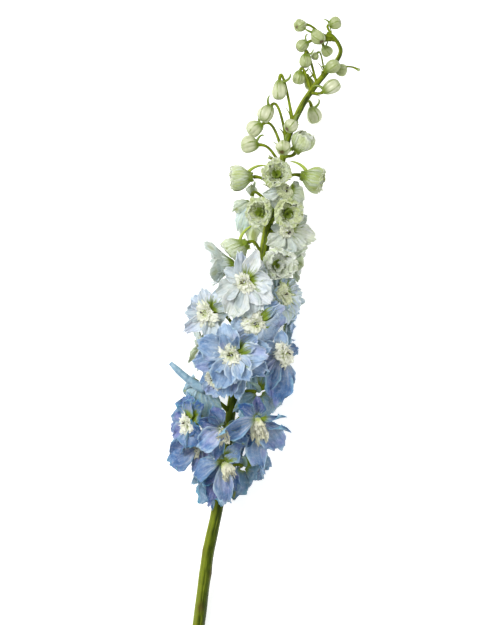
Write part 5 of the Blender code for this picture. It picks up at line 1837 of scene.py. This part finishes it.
# %% [markdown]
# ## The stem
# The stem is thick, with low ridges along it, and scars where lower leaves fell. It was cut on a slant, and
# pale pith shows there. A boolean could make that cut, but a bisect is simpler: it cuts the tube along a
# plane and closes it. The points are then moved out for the ridges and scars, and each keeps its place on
# the stem as if it were straight, for the streaks.

# %% Model the main stem
STEM_ROUNDNESS = 10
CUT_SLANT = 35.0
# how far up from the first point of its line the stem is cut, and how near to the cut a point is pith
CUT_AT = 2.0
CUT_NEAR = 0.05
RIDGES = 6
RIDGE_HEIGHT = 0.05
# each scar's place along the stem and round it, and how long and how wide, in millimetres and radians
SCARS = [(42.0, 1.7), (70.0, 0.3), (85.0, 2.85)]
SCAR_LONG = 3.2
SCAR_WIDE = 0.5
SCAR_HEIGHT = 0.16


def stem_frame(index):
    """Two ways across the stem at points of its line."""
    way = STEM_WAY[index]
    side = np.cross(way, (0.0, 0.0, 1.0))
    side /= np.linalg.norm(side, axis=1)[:, None]
    return side, np.cross(side, way)


def scars_at(length, turn):
    """How much of a scar is at each place along the stem and round it."""
    scar = np.zeros(len(length))
    for at, at_turn in SCARS:
        round_it = np.angle(np.exp(1j * (turn - at_turn)))
        near = ((length - at) / SCAR_LONG) ** 2 + (round_it / SCAR_WIDE) ** 2
        scar = np.maximum(scar, np.exp(-near))
    return scar


def main_stem():
    """The thick stem with its ridges and scars, cut on a slant."""
    stem = tubes("stem_line", [(STEM_LINE, STEM_RADIUS)], STEM_ROUNDNESS)
    place, way = stem_at(0)
    yaw = math.atan2(way[1], way[0])
    slant = math.radians(CUT_SLANT)
    normal = (math.cos(yaw) * math.cos(slant), math.sin(yaw) * math.cos(slant), -math.sin(slant))
    middle = place + way * CUT_AT
    edit_all(stem)
    bpy.ops.mesh.bisect(plane_co=middle * MM, plane_no=normal, use_fill=True, clear_inner=True)
    bpy.ops.object.mode_set(mode="OBJECT")
    points = points_of(stem.data) / MM
    index, _ = nearest_on_stem(points)
    away = points - STEM_LINE[index]
    side, up = stem_frame(index)
    turn = np.arctan2((away * up).sum(axis=1), (away * side).sum(axis=1))
    length = STEM_LENGTH[index]
    ridge = np.cos(RIDGES * turn + 0.012 * length)
    scar = scars_at(length, turn)
    grow = 1 + RIDGE_HEIGHT * ridge + SCAR_HEIGHT * scar + 0.02 * np.sin(0.21 * length)
    cut = (points - middle) @ np.array(normal) < CUT_NEAR
    grow = np.where(cut, 1.0, grow)
    points = STEM_LINE[index] + away * grow[:, None]
    points[:, 2] = np.maximum(points[:, 2], 0.0)
    place_points(stem.data, points)
    radius = STEM_RADIUS[index]
    straight = np.column_stack([np.cos(turn) * radius, np.sin(turn) * radius, length]) * MM
    store(stem.data, "stem_place", straight)
    # the first mark is a little lighter on the ridges, with painted light on the stem's left side and
    # painted shade on its right, as the key lamp falls; the second is the scars and the third the cut
    store(stem.data, "petal_marks", np.column_stack([ridge * 0.25 - 0.75 * np.cos(turn), scar * 0.9, cut]))
    return stem


print("the stem is cut", CUT_AT, "mm up its line, at", CUT_SLANT, "degrees")

# %% [markdown]
# ## Stalks and bracts
# Each stalk leaves the stem in a smooth arch and arrives behind its flower. It is wider at its foot, and a
# narrow green bract stands under it. A straight tube would do, but a curve with two handles leaves the stem
# along its length and meets the flower square, as a real stalk does.

# %% Model the stalks
STALK_POINTS = 16
STALK_ROUNDNESS = 3
STALK_GAP = 0.45
# how far below its flower a stalk leaves the stem, how steeply it rises, and how it arrives
STALK_ARCH = (0.55, 0.7, 0.36)
ARCHED_STALKS = {"bud_6": (0.9, 1.8, 0.42), "bud_5": (0.9, 1.8, 0.3), "bud_4": (0.8, 1.4, 0.34)}
STALK_RISE = 0.42
STALK_INTO_FLOWER = 1.2
LOWEST_STALK = 40.0
# each stalk's radius, and how much wider its foot is
STALK_THICK = 1.25
BUD_STALK_THICK = 1.1
STALK_FOOT = 0.9
TIP_STALK_THICK = 1.0
TINY_STALK_THICK = 0.7
TINY_SIZE = 4
TIP_STALK_FOOT = 0.25
STALK_STRETCH = (1.0, 0.4, 1.0)
STALK_MARKS = (0.3, 0.0, 0.0)


def stalk_route(head):
    """The stalk's line, rising from the stem and arriving from behind the head."""
    face, _, _ = axes_of(head)
    end = base_of(head) - face * STALK_GAP
    index, distance = nearest_on_stem(end)
    low, steep, bow = ARCHED_STALKS.get(head.name, STALK_ARCH)
    start, way = stem_at(max(STEM_LENGTH[index[0]] - low * distance[0], LOWEST_STALK))
    out = end - start
    out = out - way * (out @ way)
    span = np.linalg.norm(end - start)
    first = start + unit(unit(out) + steep * way) * span * STALK_RISE
    second = end - face * span * bow
    steps = np.linspace(0, 1, STALK_POINTS)[:, None]
    route = (1 - steps) ** 3 * start + 3 * (1 - steps) ** 2 * steps * first
    return route + 3 * (1 - steps) * steps**2 * second + steps**3 * (end + face * STALK_INTO_FLOWER)


def stalk_radii(head):
    """A stalk's radii: a wide foot, a slim neck and a small swelling under the flower."""
    thick, foot = BUD_STALK_THICK if head.kind == "bud" else STALK_THICK, STALK_FOOT
    if head in TIP_HEADS:
        thick, foot = TINY_STALK_THICK if head.size < TINY_SIZE else TIP_STALK_THICK, TIP_STALK_FOOT
    steps = np.linspace(0, 1, STALK_POINTS)
    swelling = 0.35 * np.exp(-(((steps - 1) / 0.12) ** 2))
    return thick * (1.0 + foot * np.exp(-((steps / 0.16) ** 2)) + swelling)


def stalks():
    """All the flower stalks, one tube each."""
    routes = [(stalk_route(head), stalk_radii(head)) for head in NEIGHBOURS + TIP_HEADS]
    made = tubes("stalk_lines", routes, STALK_ROUNDNESS)
    store(made.data, "stem_place", points_of(made.data) * STALK_STRETCH)
    store(made.data, "petal_marks", STALK_MARKS)
    return made


print("a stalk has", len(stalk_route(OPEN_HEADS[0])), "points")

# %% Model the bracts and join the whole stem
BRACT_THICKNESS = 0.4
BRACT_WIDTH = 0.95
BRACT_MARKS = (0.35, 0.0, 0.0)
# how far the bract stands off its stalk
BRACT_AWAY = 1.1


def bract(head, draw):
    """A narrow green bract under a stalk."""
    route = stalk_route(head)
    _, across, along = SHEETS["leaf"]
    length = draw.uniform(6, 10)
    way = unit(route[3] - route[0])
    index, _ = nearest_on_stem(route[0][None])
    side = unit(np.cross(way, STEM_WAY[index[0]]))
    lower = unit(np.cross(side, way))
    width = BRACT_WIDTH * np.sin(np.pi * (0.16 + 0.8 * along)) ** 0.8
    curl = draw.uniform(-0.3, 0.5) * length * along**2
    points = route[2] + np.outer(along * length, way) + np.outer(across * width, side)
    points = points - np.outer(curl + BRACT_AWAY + 0.3 * across**2, lower)
    leaf = petal_from("leaf", points, BRACT_MARKS)
    store(leaf.data, "stem_place", points * MM)
    return leaf


draw = random.Random("bracts")
leaves = [bract(head, draw) for head in NEIGHBOURS + TIP_HEADS]
leaves = finished("bracts", leaves, STEM_SKIN, BRACT_THICKNESS)
stem = finished("stem_and_stalks", [main_stem(), stalks(), leaves], STEM_SKIN)
dress(stem, "stem_green", "stem")
print("the stem has", len(stem.data.polygons), "faces")

# %% [markdown]
# ## Finish
# The starting shapes are removed.

# %% Finish
for start in [sheet[0] for sheet in SHEETS.values()] + [ANTHER, BALL]:
    bpy.data.objects.remove(start)
